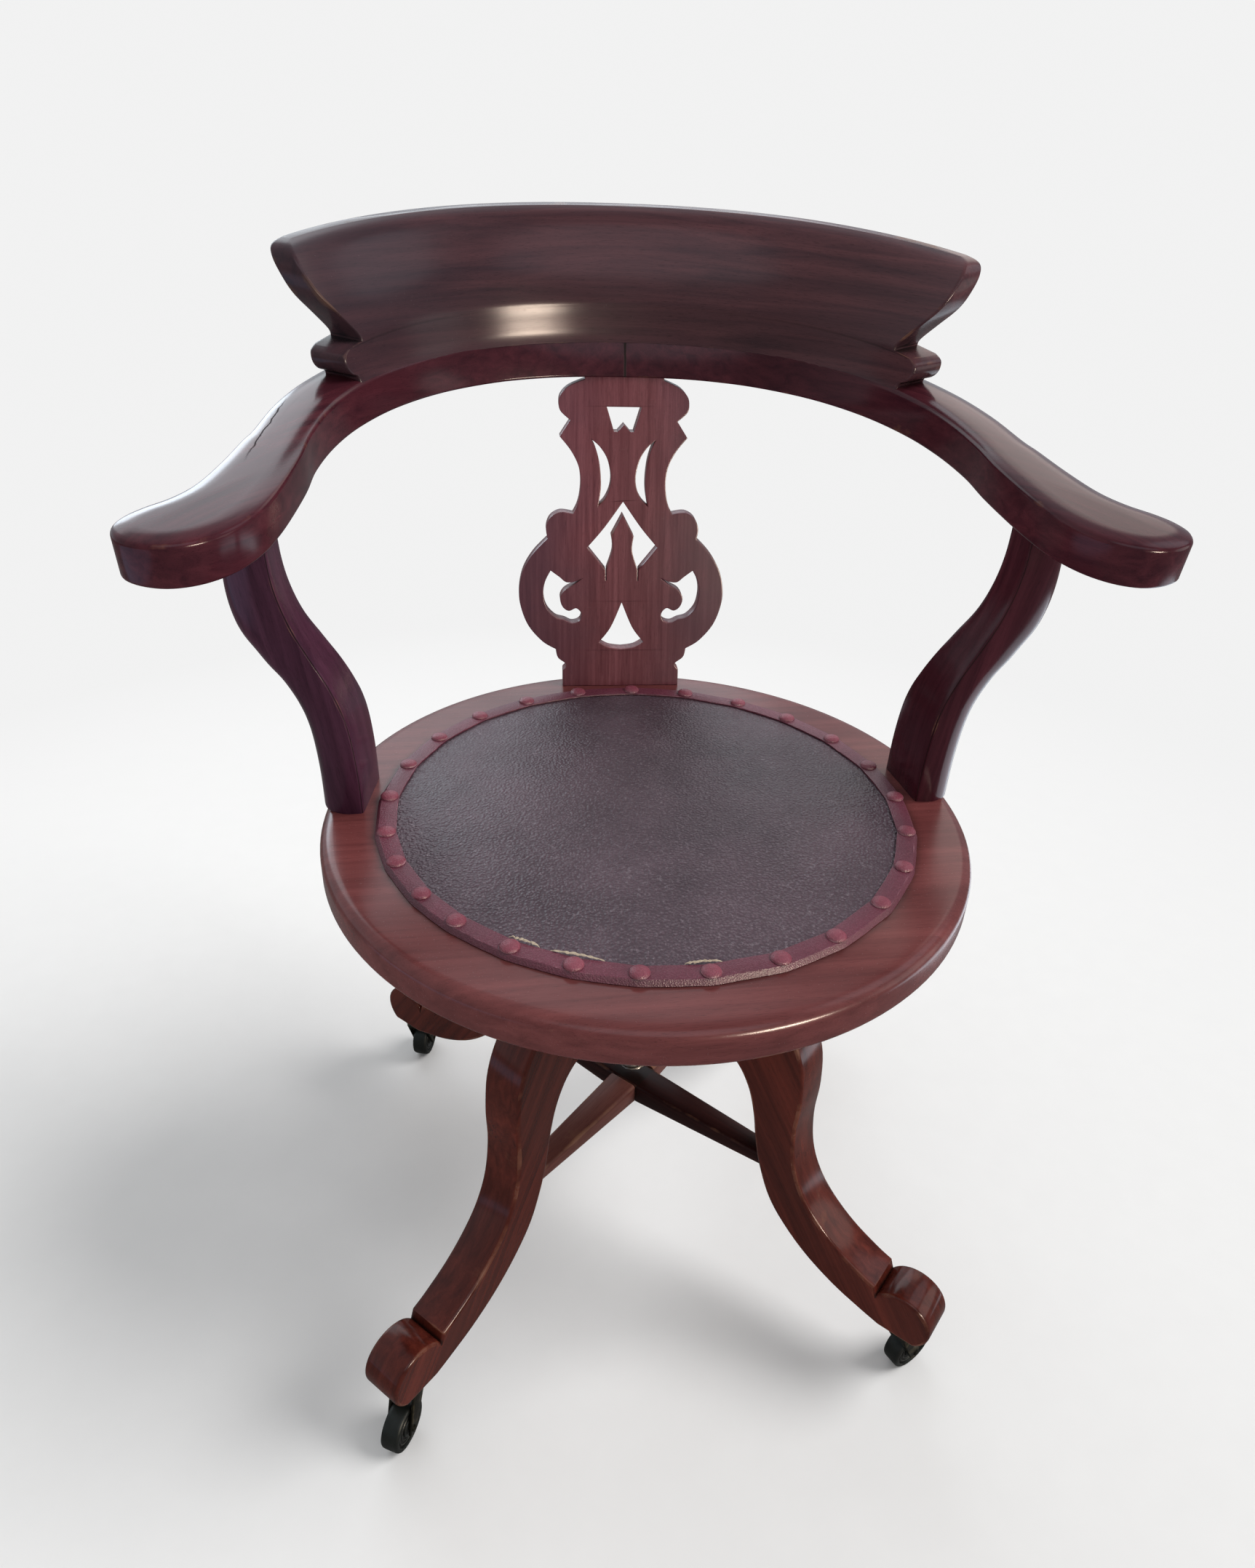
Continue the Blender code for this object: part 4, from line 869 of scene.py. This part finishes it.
raw_hide = hide(
    "raw_hide", (0.42, 0.32, 0.22), (0.62, 0.52, 0.40), (0.75, 0.66, 0.54), 0.0007, 0.75, 0.2, (0.6, 0.5, 0.4)
)
for number, (first, last) in enumerate(fray_spans):
    rings = []
    for i in range(fray_steps + 1):
        share = i / fray_steps
        angle = math.radians(first + (last - first) * share)
        body = math.sin(math.pi * share) ** 0.4
        wander = noise.noise((share * 9, number * 3.1, 0.4))
        thick = 0.0005 * body * (1.0 + 0.9 * noise.noise((share * 22, number, 2.2)))
        wide = 0.0011 * body * (1.0 + 0.9 * noise.noise((share * 17, number, 5.2)))
        radius = band_radius - band_width - 0.0008 - 0.0009 * body + 0.0007 * wander
        height = band_floor + 0.0012 + 0.0016 * body + 0.0006 * noise.noise((share * 13, number, 9.2))
        ring = []
        for side in range(fray_sides):
            turn = math.tau * side / fray_sides
            reach = radius + wide * math.cos(turn)
            ring.append((reach * math.cos(angle), axis_y + reach * math.sin(angle), height + thick * math.sin(turn)))
        rings.append(ring)
    fit(stacked(f"band_fray_{number + 1}", rings), "seat", "band_leather", raw_hide, reach=0.0005)


# Arm supports: two S-shaped mahogany posts, flat on the inside and rounded in front, slimmer to the top.
# They are tenoned into the seat ring and screwed up into the arms; the left one's finish is tinted purple, a painted
# cool reflection.
arm_height, arm_slope, arm_thickness = 0.249, math.radians(8.5), 0.028
arm_top = seat_top + arm_height
support_azimuth = math.radians(7.5)
support_thickness, support_front, support_tenon = 0.033, -0.0265, 0.0025
support_depth = ((0.00, 0.053), (0.25, 0.051), (0.40, 0.044), (0.55, 0.036), (0.70, 0.028), (1.00, 0.0265))
support_section = (
    (0.00, 0.96), (0.00, 0.50), (0.00, 0.08), (0.03, 0.015), (0.10, -0.005), (0.42, -0.03), (0.76, 0.05),
    (0.95, 0.22), (1.00, 0.45), (1.00, 0.84), (0.97, 0.95), (0.88, 1.00), (0.50, 1.00), (0.12, 1.00), (0.03, 0.985),
)
support_swell = ((0.00, 1.00), (0.40, 1.00), (0.52, 1.09), (0.64, 1.18), (0.78, 1.09), (1.00, 0.86))
support_advance = ((0.00, 0.000), (0.35, 0.000), (0.85, 0.008), (1.00, 0.008))
support_line = (
    (0.00, 0.2085), (0.14, 0.2092), (0.28, 0.2120), (0.38, 0.2168), (0.47, 0.2240), (0.56, 0.2335),
    (0.66, 0.2430), (0.77, 0.2495), (0.88, 0.2518), (1.00, 0.2520),
)


def arm_underside(y):
    """Height of the arms' lower face at a place along the chair's depth, measured from the swivel axis."""
    return arm_top + y * math.tan(arm_slope) - arm_thickness / math.cos(arm_slope)


post_worn = (0.22, 0.10, 0.06)
# The left post's purple tone is a painted cool reflection; the right post keeps the plain red finish.
post_woods = {
    "left": polished_wood("purple_sheen_mahogany", (0.042, 0.012, 0.026), (0.086, 0.027, 0.052), post_worn, 0.26, 0.15),
    "right": polished_wood("support_mahogany", (0.040, 0.007, 0.013), (0.082, 0.017, 0.026), post_worn, 0.26, 0.15),
}
post_line = smooth_run(support_line, 6)
post_slopes = numpy.gradient([p.y for p in post_line], [p.x for p in post_line]) / arm_height
depth_run, swell_run = smooth_run(support_depth, 6), smooth_run(support_swell, 6)
section = smooth_run(support_section[-1:] + support_section + support_section[:2], 4)[4:-5]
for side, sign in (("left", -1), ("right", 1)):
    rings = []
    for (share, distance), slope in zip(post_line, post_slopes):
        thickness = support_thickness * read_off(swell_run, share) * math.hypot(1.0, slope)
        depth = read_off(depth_run, share)
        front = support_front - read_off(support_advance, share)
        ring = []
        for outward, backward in section:
            radius = distance + outward * thickness
            sideways = front + backward * depth
            x = radius * math.cos(support_azimuth) - sideways * math.sin(support_azimuth)
            y = radius * math.sin(support_azimuth) + sideways * math.cos(support_azimuth)
            rise = arm_underside(y) - seat_top + support_tenon
            ring.append(Vector((sign * x, axis_y + y, seat_top + share * rise)))
        rings.append(ring)
    fit(
        stacked(side + "_support", rings), "seat", "polished_mahogany", post_woods[side], "arm_support_" + side,
        reach=0.004, grain=(sign * 0.15, 0, 1), board=5 + sign,
    )


# Back splat: a thin mahogany board, fretsawn to a scrolled outline with pierced openings, its edges eased.
# It stands on the seat ring, leans back with the sitter and is let into the underside of the bow.
splat_front, splat_lean, splat_thickness, splat_height = 0.2115, 0.213, 0.011, 0.2605
splat_tongue, splat_rounding = 0.004, 0.0003
splat_edge = (
    ((0.0530, 0.000), (0.0530, 0.0140)),
    ((0.0530, 0.0140), (0.0497, 0.0193), (0.0573, 0.0255), (0.0594, 0.0333)),
    ((0.0594, 0.0333), (0.0713, 0.0403), (0.0838, 0.0545), (0.0904, 0.0716), (0.0915, 0.0859), (0.0878, 0.1020),
     (0.0789, 0.1165), (0.0660, 0.1293)),
    ((0.0660, 0.1293), (0.0672, 0.1380), (0.0637, 0.1467), (0.0551, 0.1515), (0.0437, 0.1502)),
    ((0.0437, 0.1502), (0.0403, 0.1565), (0.0379, 0.1650), (0.0370, 0.1778), (0.0392, 0.1900), (0.0456, 0.2020),
     (0.0550, 0.2130)),
    ((0.0550, 0.2130), (0.0460, 0.2260)),
    ((0.0460, 0.2260), (0.0542, 0.2330), (0.0557, 0.2395), (0.0540, 0.2460), (0.0470, 0.2525), (0.0335, 0.2580)),
    ((0.0335, 0.2580), (0.0335, 0.2605)),
)
window_edge = (
    ((0.0000, 0.2370), (0.0149, 0.2370)), ((0.0149, 0.2370), (0.0085, 0.2172)),
    ((0.0085, 0.2172), (0.0055, 0.2172)), ((0.0055, 0.2172), (0.0000, 0.2230)),
)
arrow_edge = (
    ((0.0000, 0.1605), (0.0160, 0.1390), (0.0311, 0.1220)), ((0.0311, 0.1220), (0.0148, 0.1026)),
    ((0.0148, 0.1026), (0.0146, 0.0935)), ((0.0146, 0.0935), (0.0138, 0.0935)), ((0.0138, 0.0935), (0.0139, 0.1026)),
    ((0.0139, 0.1026), (0.0087, 0.1190), (0.0099, 0.1315)), ((0.0099, 0.1315), (0.0000, 0.1495)),
)
flame_edge = (
    ((0.0000, 0.0745), (0.0097, 0.0526), (0.0203, 0.0392)), ((0.0203, 0.0392), (0.0116, 0.0345), (0.0000, 0.0328)),
)
slit_edge = (
    ((0.0280, 0.2112), (0.0205, 0.2050), (0.0142, 0.1954), (0.0108, 0.1822), (0.0117, 0.1716), (0.0160, 0.1623),
     (0.0218, 0.1565)),
    ((0.0218, 0.1565), (0.0197, 0.1689), (0.0195, 0.1795), (0.0210, 0.1928), (0.0240, 0.2034), (0.0280, 0.2112)),
)
curl_edge = (
    ((0.0352, 0.0956), (0.0428, 0.0926), (0.0499, 0.0923), (0.0556, 0.0966), (0.0635, 0.1022)),
    ((0.0635, 0.1022), (0.0684, 0.0928), (0.0700, 0.0824), (0.0674, 0.0700), (0.0598, 0.0615), (0.0516, 0.0590),
     (0.0446, 0.0562), (0.0378, 0.0584), (0.0362, 0.0646), (0.0408, 0.0694), (0.0474, 0.0672), (0.0530, 0.0708),
     (0.0552, 0.0784), (0.0512, 0.0850), (0.0428, 0.0897), (0.0352, 0.0956)),
)


def joined_runs(runs):
    """One line of points from smooth runs that meet at corners."""
    line = []
    for run in runs:
        line += smooth_run(run, 5 if len(run) > 2 else 4)[:-1]
    return line + [Vector(runs[-1][-1])]


def mirrored(half):
    """Closed outline from its right half."""
    return half + [Vector((-point.x, point.y)) for point in reversed(half) if point.x > 1e-6]


splat_loops = [mirrored(joined_runs(edge)) for edge in (splat_edge, window_edge, arrow_edge, flame_edge)]
for edge in (slit_edge, curl_edge):
    right = joined_runs(edge)[:-1]
    splat_loops += [right, [Vector((-point.x, point.y)) for point in right]]
splat = new_shape("pierced_splat", bpy.ops.curve.primitive_bezier_curve_add)
splat.data.dimensions = "2D"
splat.data.fill_mode = "BOTH"
splat.data.extrude = splat_thickness / 2 - splat_rounding
splat.data.bevel_depth = splat_rounding
splat.data.bevel_resolution = 1
splat.data.offset = -splat_rounding
splat.data.splines.clear()
for loop in splat_loops:
    spline = splat.data.splines.new("POLY")
    spline.points.add(len(loop) - 1)
    spline.use_cyclic_u = True
    for point, place in zip(spline.points, loop):
        point.co = (place.x, place.y, 0, 1)
bpy.ops.object.convert(target="MESH")
splat.data.name = "pierced_splat"
bpy.ops.object.mode_set(mode="EDIT")
bpy.ops.mesh.select_all(action="SELECT")
bpy.ops.mesh.remove_doubles(threshold=1e-5)
bpy.ops.mesh.normals_make_consistent(inside=False)
bpy.ops.mesh.select_mode(type="FACE")
bpy.ops.mesh.select_all(action="DESELECT")
shape = bmesh.from_edit_mesh(splat.data)
flat_side = splat_thickness / 2 - 1e-5
for face in shape.faces:
    if min(abs(vert.co.z) for vert in face.verts) > flat_side:
        face.select_set(True)
bmesh.update_edit_mesh(splat.data)
bpy.ops.mesh.inset(thickness=0.0007, use_even_offset=False)
bpy.ops.mesh.select_mode(type="VERT")
bpy.ops.object.mode_set(mode="OBJECT")
on_flat_side = [abs(vert.co.z) > flat_side for vert in splat.data.vertices]
splat_floor = seat_top + gap
splat_rise = arm_underside(splat_front + splat_lean * splat_height) - splat_floor
for vert in splat.data.vertices:
    height = vert.co.y * splat_rise / splat_height
    if vert.co.y > splat_height - 0.0012:
        height += splat_tongue
    depth = splat_front + splat_lean * height + splat_thickness / 2 + vert.co.z
    vert.co = (vert.co.x, axis_y + depth, splat_floor + height)
bpy.ops.object.mode_set(mode="EDIT")
face_outward()
mark_edges(splat, 0.001)
for flat, bend in zip(on_flat_side, splat.data.attributes["edge"].data):
    if flat:
        bend.value = 0.0


def split_place(tree):
    return add_node(tree, "ShaderNodeSeparateXYZ", {0: object_place(tree)}).outputs


def overlay(tree, mask, colour):
    """Lays a further colour over a finish where the mask says."""
    polish = tree.nodes["Principled BSDF"].inputs["Base Color"]
    tree.links.new(mix_node(tree, mask, polish.links[0].from_socket, colour), polish)


splat_wood = polished_wood(
    "splat_mahogany", (0.172, 0.043, 0.053), (0.345, 0.114, 0.128), (0.28, 0.12, 0.075), 0.30, 0.22, 0.0035
)
tree = splat_wood.node_tree
# The splat's sides are tinted purple-grey, a painted sheen; the middle keeps the redder wood.
sheen_sides = add_share(tree, noise_node(tree, object_place(tree), 24.0), 0.06, -0.03)
sheen_sides = math_node(tree, "ADD", math_node(tree, "ABSOLUTE", split_place(tree)["X"]), sheen_sides)
overlay(tree, product(tree, ramp_node(tree, sheen_sides, 0.018, 0.075), 0.62), (0.105, 0.050, 0.070))
fit(splat, "seat", "polished_mahogany", splat_wood, "back_splat", grain=(0, 0.2, 1), board=9)


# Arm bow: two mahogany halves sawn on the curve and butted behind the sitter, each ending in an outswept arm.
# The tops are crowned and polished by elbows; the inner face behind the back leans with the sitter.
bow_half_width, bow_depth, bow_middle, bow_squareness = 0.230, 0.244, 0.030, 2.3
bow_width_back, bow_width_side, bow_face_top, bow_face_floor = 0.048, 0.040, 0.0030, -0.0105
arm_rounding, arm_lower_rounding, arm_crown, joint_gap = 0.0036, 0.0022, 0.0017, 0.00004
crown_levels = (
    (0.0054, 0.28), (0.0068, 0.46), (0.0085, 0.65), (0.0105, 0.81), (0.0125, 0.92), (0.0145, 1.0)
)
bow_stations = (0, 8, 16, 26, 39, 52, 64, 74, 83)
arm_end = (
    (0.2305, 0.035), (0.2345, 0.000), (0.239, -0.028), (0.245, -0.051), (0.256, -0.072), (0.271, -0.086),
    (0.288, -0.092), (0.304, -0.090), (0.317, -0.082), (0.322, -0.069), (0.319, -0.056), (0.311, -0.044),
    (0.298, -0.030), (0.2875, -0.011), (0.2790, 0.021), (0.2725, 0.055),
)
crack_x, crack_lean = 0.2612, -0.0948
arm_plane = Matrix.Translation((0, axis_y, arm_top)) @ Matrix.Rotation(arm_slope, 4, "X")


def bow_point(degrees, offset):
    """Point on the bow's inner edge, moved outwards; 0 degrees is the middle of the back."""
    angle = math.radians(degrees)
    power = 2 / bow_squareness
    across = math.copysign(abs(math.sin(angle)) ** power, angle)
    along = max(math.cos(angle), 0.0) ** power
    normal = Vector((
        math.copysign(abs(across) ** (bow_squareness - 1), across) / bow_half_width,
        along ** (bow_squareness - 1) / bow_depth,
    )).normalized()
    return Vector((bow_half_width * across, bow_middle + bow_depth * along)) + offset * normal


def bow_turn(degrees):
    """Share of a quarter turn, in radians, at a place along the bow."""
    return math.radians(90 * degrees / bow_stations[-1])


def bow_width(degrees):
    return bow_width_back + (bow_width_side - bow_width_back) * math.sin(bow_turn(degrees)) ** 2


arm_wood = polished_wood("arm_mahogany", (0.042, 0.009, 0.015), (0.090, 0.020, 0.028), (0.22, 0.09, 0.05), 0.08, 0.16)
tree = arm_wood.node_tree
place = split_place(tree)
wander = add_share(tree, noise_node(tree, object_place(tree), 60.0), 0.004, -0.002)
crack = add_share(tree, place["Y"], crack_lean, math_node(tree, "ADD", place["X"], crack_x))
crack = math_node(tree, "ABSOLUTE", math_node(tree, "ADD", crack, wander))
crack = ramp_node(tree, crack, 0.0002, 0.0009, 1.0, 0.0)
crack = product(tree, crack, ramp_node(tree, place["Y"], -0.030, 0.000))
crack = product(tree, crack, ramp_node(tree, place["Y"], 0.060, 0.085, 1.0, 0.0))
butt_joint = math_node(tree, "ABSOLUTE", add_share(tree, wander, 0.5, place["X"]))
butt_joint = ramp_node(tree, butt_joint, 0.0005, 0.0014, 1.0, 0.0)
dark_lines = product(tree, math_node(tree, "MAXIMUM", crack, butt_joint), 0.85)
overlay(tree, dark_lines, (0.004, 0.002, 0.002))
gloss = tree.nodes["Principled BSDF"].inputs["Roughness"]
tree.links.new(add_share(tree, dark_lines, 0.7, gloss.links[0].from_socket), gloss)
arm_levels = rounded_levels(arm_thickness, arm_lower_rounding, 5)[:7]
arm_levels += rounded_levels(arm_thickness, arm_rounding, 5)[7:-2]
arm_levels = [(inset, height - arm_thickness / 2) for inset, height in arm_levels]
arm_levels += [(inset, rise * arm_crown) for inset, rise in crown_levels]
for side, sign in (("left", -1), ("right", 1)):
    rings = []
    for inset, height in arm_levels:
        fall = -min(height, 0.0) / arm_thickness
        face = bow_face_top + (bow_face_floor - bow_face_top) * fall
        inner = [tuple(bow_point(s, face * math.cos(bow_turn(s)))) for s in bow_stations]
        outer = [tuple(bow_point(s, bow_width(s))) for s in reversed(bow_stations)]
        outline = inset_outline(smooth_run(inner + list(arm_end) + outer, 5), inset)
        outline[0].x = outline[-1].x = 0.0
        rings.append([arm_plane @ Vector((sign * max(p.x, joint_gap / 2), p.y, height)) for p in outline])
    fit(
        stacked(side + "_arm", rings), "seat", "polished_mahogany", arm_wood, "arm_" + side,
        reach=0.004, grain=(sign * 0.75, -1, 0), board=11 + sign,
    )


# Crest rail: a deep mahogany rail, sawn and hollowed to the sitter's back and screwed down on the bow.
# It flares back to a rounded top; each end is fretted with a knob, a notch and a swept tip.
crest_section = (
    (-0.003, 0.0013, 0.0440), (0.001, 0.0027, 0.0441), (0.005, 0.0038, 0.0443), (0.012, 0.0052, 0.0450),
    (0.022, 0.0071, 0.0463), (0.030, 0.0092, 0.0475), (0.050, 0.0176, 0.0520),
    (0.068, 0.029, 0.0590), (0.080, 0.038, 0.0655), (0.086, 0.045, 0.0675), (0.089, 0.053, 0.0630),
)
crest_knob = (
    (-0.0030, 59.2), (0.0035, 59.4), (0.0070, 60.9), (0.0115, 61.8), (0.0165, 62.0), (0.0205, 61.6), (0.0230, 60.2)
)
crest_tip = (
    (0.0240, 55.8), (0.0290, 56.1), (0.0420, 58.5), (0.0530, 60.5), (0.0610, 61.4), (0.0700, 61.7), (0.0780, 61.5),
    (0.0840, 60.8), (0.0875, 59.6), (0.0890, 57.8),
)
crest_end_thinning, crest_turn, crest_half_length = 0.26, 1.0, 0.26
end_rounding, end_steps, crest_steps = 0.0022, 4, 26
crest_front = smooth_run([(height, front) for height, front, back in crest_section], 6)
crest_back = smooth_run([(height, back) for height, front, back in crest_section], 6)
bite = end_rounding / crest_half_length
shares = [(1 - bite) * math.sin(math.radians(90 * i / crest_steps)) for i in range(1 - crest_steps, crest_steps)]
crest_rings = []
for height, end in smooth_run(crest_knob, 4) + smooth_run(crest_tip, 4):
    front, back = read_off(crest_front, height), read_off(crest_back, height)
    ease = end_rounding / ((back - front) * (1 - crest_end_thinning))
    right = []
    for i in range(end_steps + 1):
        angle = math.radians(90 * i / end_steps)
        right.append((1 - bite * (1 - math.sin(angle)), ease * (1 - math.cos(angle))))
    right += [(1.0, 0.5)] + [(share, 1 - depth) for share, depth in reversed(right)]
    path = [(share, 0.0) for share in shares] + right
    path += [(share, 1.0) for share in reversed(shares)] + [(-share, depth) for share, depth in reversed(right)]
    ring = []
    for share, depth in path:
        thick = (back - front) * (1 - crest_end_thinning * share ** 2)
        point = bow_point(share * end - crest_turn, front + depth * thick)
        ring.append(arm_plane @ Vector((point.x, point.y, height)))
    crest_rings.append(ring)
crest = stacked("flared_crest", crest_rings)
mark_grain(crest, (1, 0, 0), 14)
for vert, spot in zip(crest.data.vertices, crest.data.attributes["grain"].data):
    reach = Vector((vert.co.x, vert.co.y - axis_y - bow_middle))
    spot.vector = (math.atan2(reach.x, reach.y) * bow_half_width, reach.length, vert.co.z)
crest_wood = polished_wood(
    "crest_mahogany", (0.056, 0.026, 0.032), (0.128, 0.050, 0.056), (0.24, 0.11, 0.06), 0.30, 0.20, 0.009
)
tree = crest_wood.node_tree
# The crest darkens to a cool near-black towards its left end: painted shade.
painted_left_shade = add_share(tree, noise_node(tree, object_place(tree), 9.0), 0.12, split_place(tree)["X"])
overlay(tree, ramp_node(tree, painted_left_shade, 0.02, -0.20, 0.0, 0.62), (0.022, 0.019, 0.026))
fit(crest, "seat", "crest_mahogany", crest_wood, "crest_rail", reach=0.0035)


# Studio: a pale floor that runs on to a backdrop of the same tone, one large soft lamp from the upper right
# and a soft panel behind. Tinted reflector cards show in the polish alone and throw no light of their own.
# The camera stands at the height of someone before the chair.
backdrop_tone, mirrored_floor_tone, diffuse_tone = 0.885, 0.05, 0.50
floor_dark, floor_pale = (0.81, 0.81, 0.81), (0.84, 0.84, 0.84)
floor = new_shape("floor", bpy.ops.mesh.primitive_plane_add, size=40, location=(0, 0, 0))
paper, tree, shader = new_finish("floor_paper")
shader["Roughness"].default_value = 0.9
shader["Specular IOR Level"].default_value = 0.1
fibres = noise_node(tree, object_place(tree), 30.0, 4.0)
tree.links.new(mix_node(tree, fibres, floor_dark, floor_pale), shader["Base Color"])
distance = add_node(tree, "ShaderNodeVectorMath", {0: object_place(tree)}, operation="LENGTH").outputs["Value"]
glossy_share = product(tree, add_node(tree, "ShaderNodeLightPath").outputs["Is Glossy Ray"], 0.82)
surface = tree.nodes["Principled BSDF"].outputs[0]
for share, tone in ((ramp_node(tree, distance, 0.58, 1.35), backdrop_tone), (glossy_share, mirrored_floor_tone)):
    glow = add_node(tree, "ShaderNodeEmission", {"Color": (tone, tone, tone, 1), "Strength": 1.0})
    surface = add_node(tree, "ShaderNodeMixShader", {0: share, 1: surface, 2: glow.outputs[0]}).outputs[0]
tree.links.new(surface, tree.nodes["Material Output"].inputs["Surface"])
floor.data.materials.append(paper)

world = bpy.data.worlds.new("studio")
bpy.context.scene.world = world
world.use_nodes = True
tree = world.node_tree
seen = add_node(tree, "ShaderNodeLightPath").outputs
heading = add_node(tree, "ShaderNodeSeparateXYZ", {0: add_node(tree, "ShaderNodeTexCoord").outputs["Generated"]})
heading = add_share(tree, heading.outputs["X"], -0.8, heading.outputs["Y"])
mirrored_tone = ramp_node(tree, heading, -0.3, 1.0, 0.25, 0.95)
direct = math_node(tree, "MAXIMUM", seen["Is Camera Ray"], seen["Is Transmission Ray"])
tone = ramp_node(tree, direct, 0.0, 1.0, mirrored_tone, backdrop_tone)
tone = ramp_node(tree, seen["Is Diffuse Ray"], 0.0, 1.0, tone, diffuse_tone)
tint = mix_node(tree, seen["Is Glossy Ray"], (1.0, 1.0, 1.0), (0.84, 0.92, 1.0))
tree.links.new(tint, tree.nodes["Background"].inputs["Color"])
tree.links.new(tone, tree.nodes["Background"].inputs["Strength"])


def lamp(name, kind, place, aim, power, colour, **settings):
    bpy.ops.object.light_add(type=kind, location=place)
    light = bpy.context.object
    light.name = name
    light.rotation_euler = (Vector(aim) - Vector(place)).to_track_quat("-Z", "Y").to_euler()
    light.data.energy = power
    light.data.color = colour
    light.visible_camera = False
    for key, value in settings.items():
        setattr(light.data, key, value)
    return light


key_lamp = lamp("key_lamp", "SUN", (2.0, -0.1, 2.0), (0, 0, 0), 2.3, (1.0, 0.985, 0.965), angle=math.radians(34))
key_lamp.visible_glossy = False
lamp("back_panel", "AREA", (-0.50, 2.1, 1.95), (0, 0, 0.5), 19, (0.90, 0.96, 1.0),
     shape="RECTANGLE", size=2.7, size_y=1.3)
cool = (0.80, 0.90, 1.0)
reflectors = (
    ("back_reflector", (-1.19, 1.87, 1.20), (-0.27, 0, 0.68), 6.0, 0.8, 0.6, cool),
    ("side_reflector", (1.58, 0.18, 2.04), (0.1, -0.2, 0.43), 5.0, 1.3, 1.3, cool),
    ("front_reflector", (0.84, -1.30, 0.72), (-0.09, 0.22, 0.74), 32.0, 0.62, 0.15, (1.0, 0.81, 0.65)),
    ("low_reflector", (1.15, 0.15, 0.01), (1.15, 0.15, 1.0), 7.0, 0.9, 1.2, cool),
    ("upper_reflector", (0.10, -1.60, 2.30), (0.0, -0.2, 0.2), 14.0, 2.6, 1.6, cool),
    ("right_reflector", (1.45, 2.0, 2.00), (0.28, 0.0, 0.68), 5.2, 1.2, 1.3, (1.0, 0.86, 0.76)),
    ("left_reflector", (-1.65, -0.85, 0.01), (-1.65, -0.85, 1.0), 5.5, 1.4, 1.9, (0.42, 0.62, 1.0)),
    ("foot_reflector", (1.50, -0.40, 0.70), (0.20, -0.24, 0.10), 2.6, 0.8, 0.8, (1.0, 0.97, 0.92)),
)
for name, place, aim, power, width, height, colour in reflectors:
    card = lamp(name, "AREA", place, aim, power, colour, shape="ELLIPSE", size=width, size_y=height)
    card.visible_diffuse = False

yaw, pitch, roll = math.radians(6.98), math.radians(31.02), math.radians(2.50)
focal_pixels, image_height, sensor_width = 1500, 2156, 36
forward = Vector((math.sin(yaw) * math.cos(pitch), math.cos(yaw) * math.cos(pitch), -math.sin(pitch)))
level = Vector((math.cos(yaw), -math.sin(yaw), 0))
upward = level.cross(forward)
tilted_right = math.cos(roll) * level + math.sin(roll) * upward
tilted_up = math.cos(roll) * upward - math.sin(roll) * level
bpy.ops.object.camera_add()
camera = bpy.context.object
facing = Matrix((tilted_right, tilted_up, -forward)).transposed().to_4x4()
camera.matrix_world = Matrix.Translation((-0.100, -0.691 + axis_y, 0.875)) @ facing
camera.data.sensor_width = sensor_width
camera.data.lens = focal_pixels / image_height * sensor_width
camera.data.clip_start = 0.01
bpy.context.scene.camera = camera
bpy.context.scene.view_settings.view_transform = "Standard"
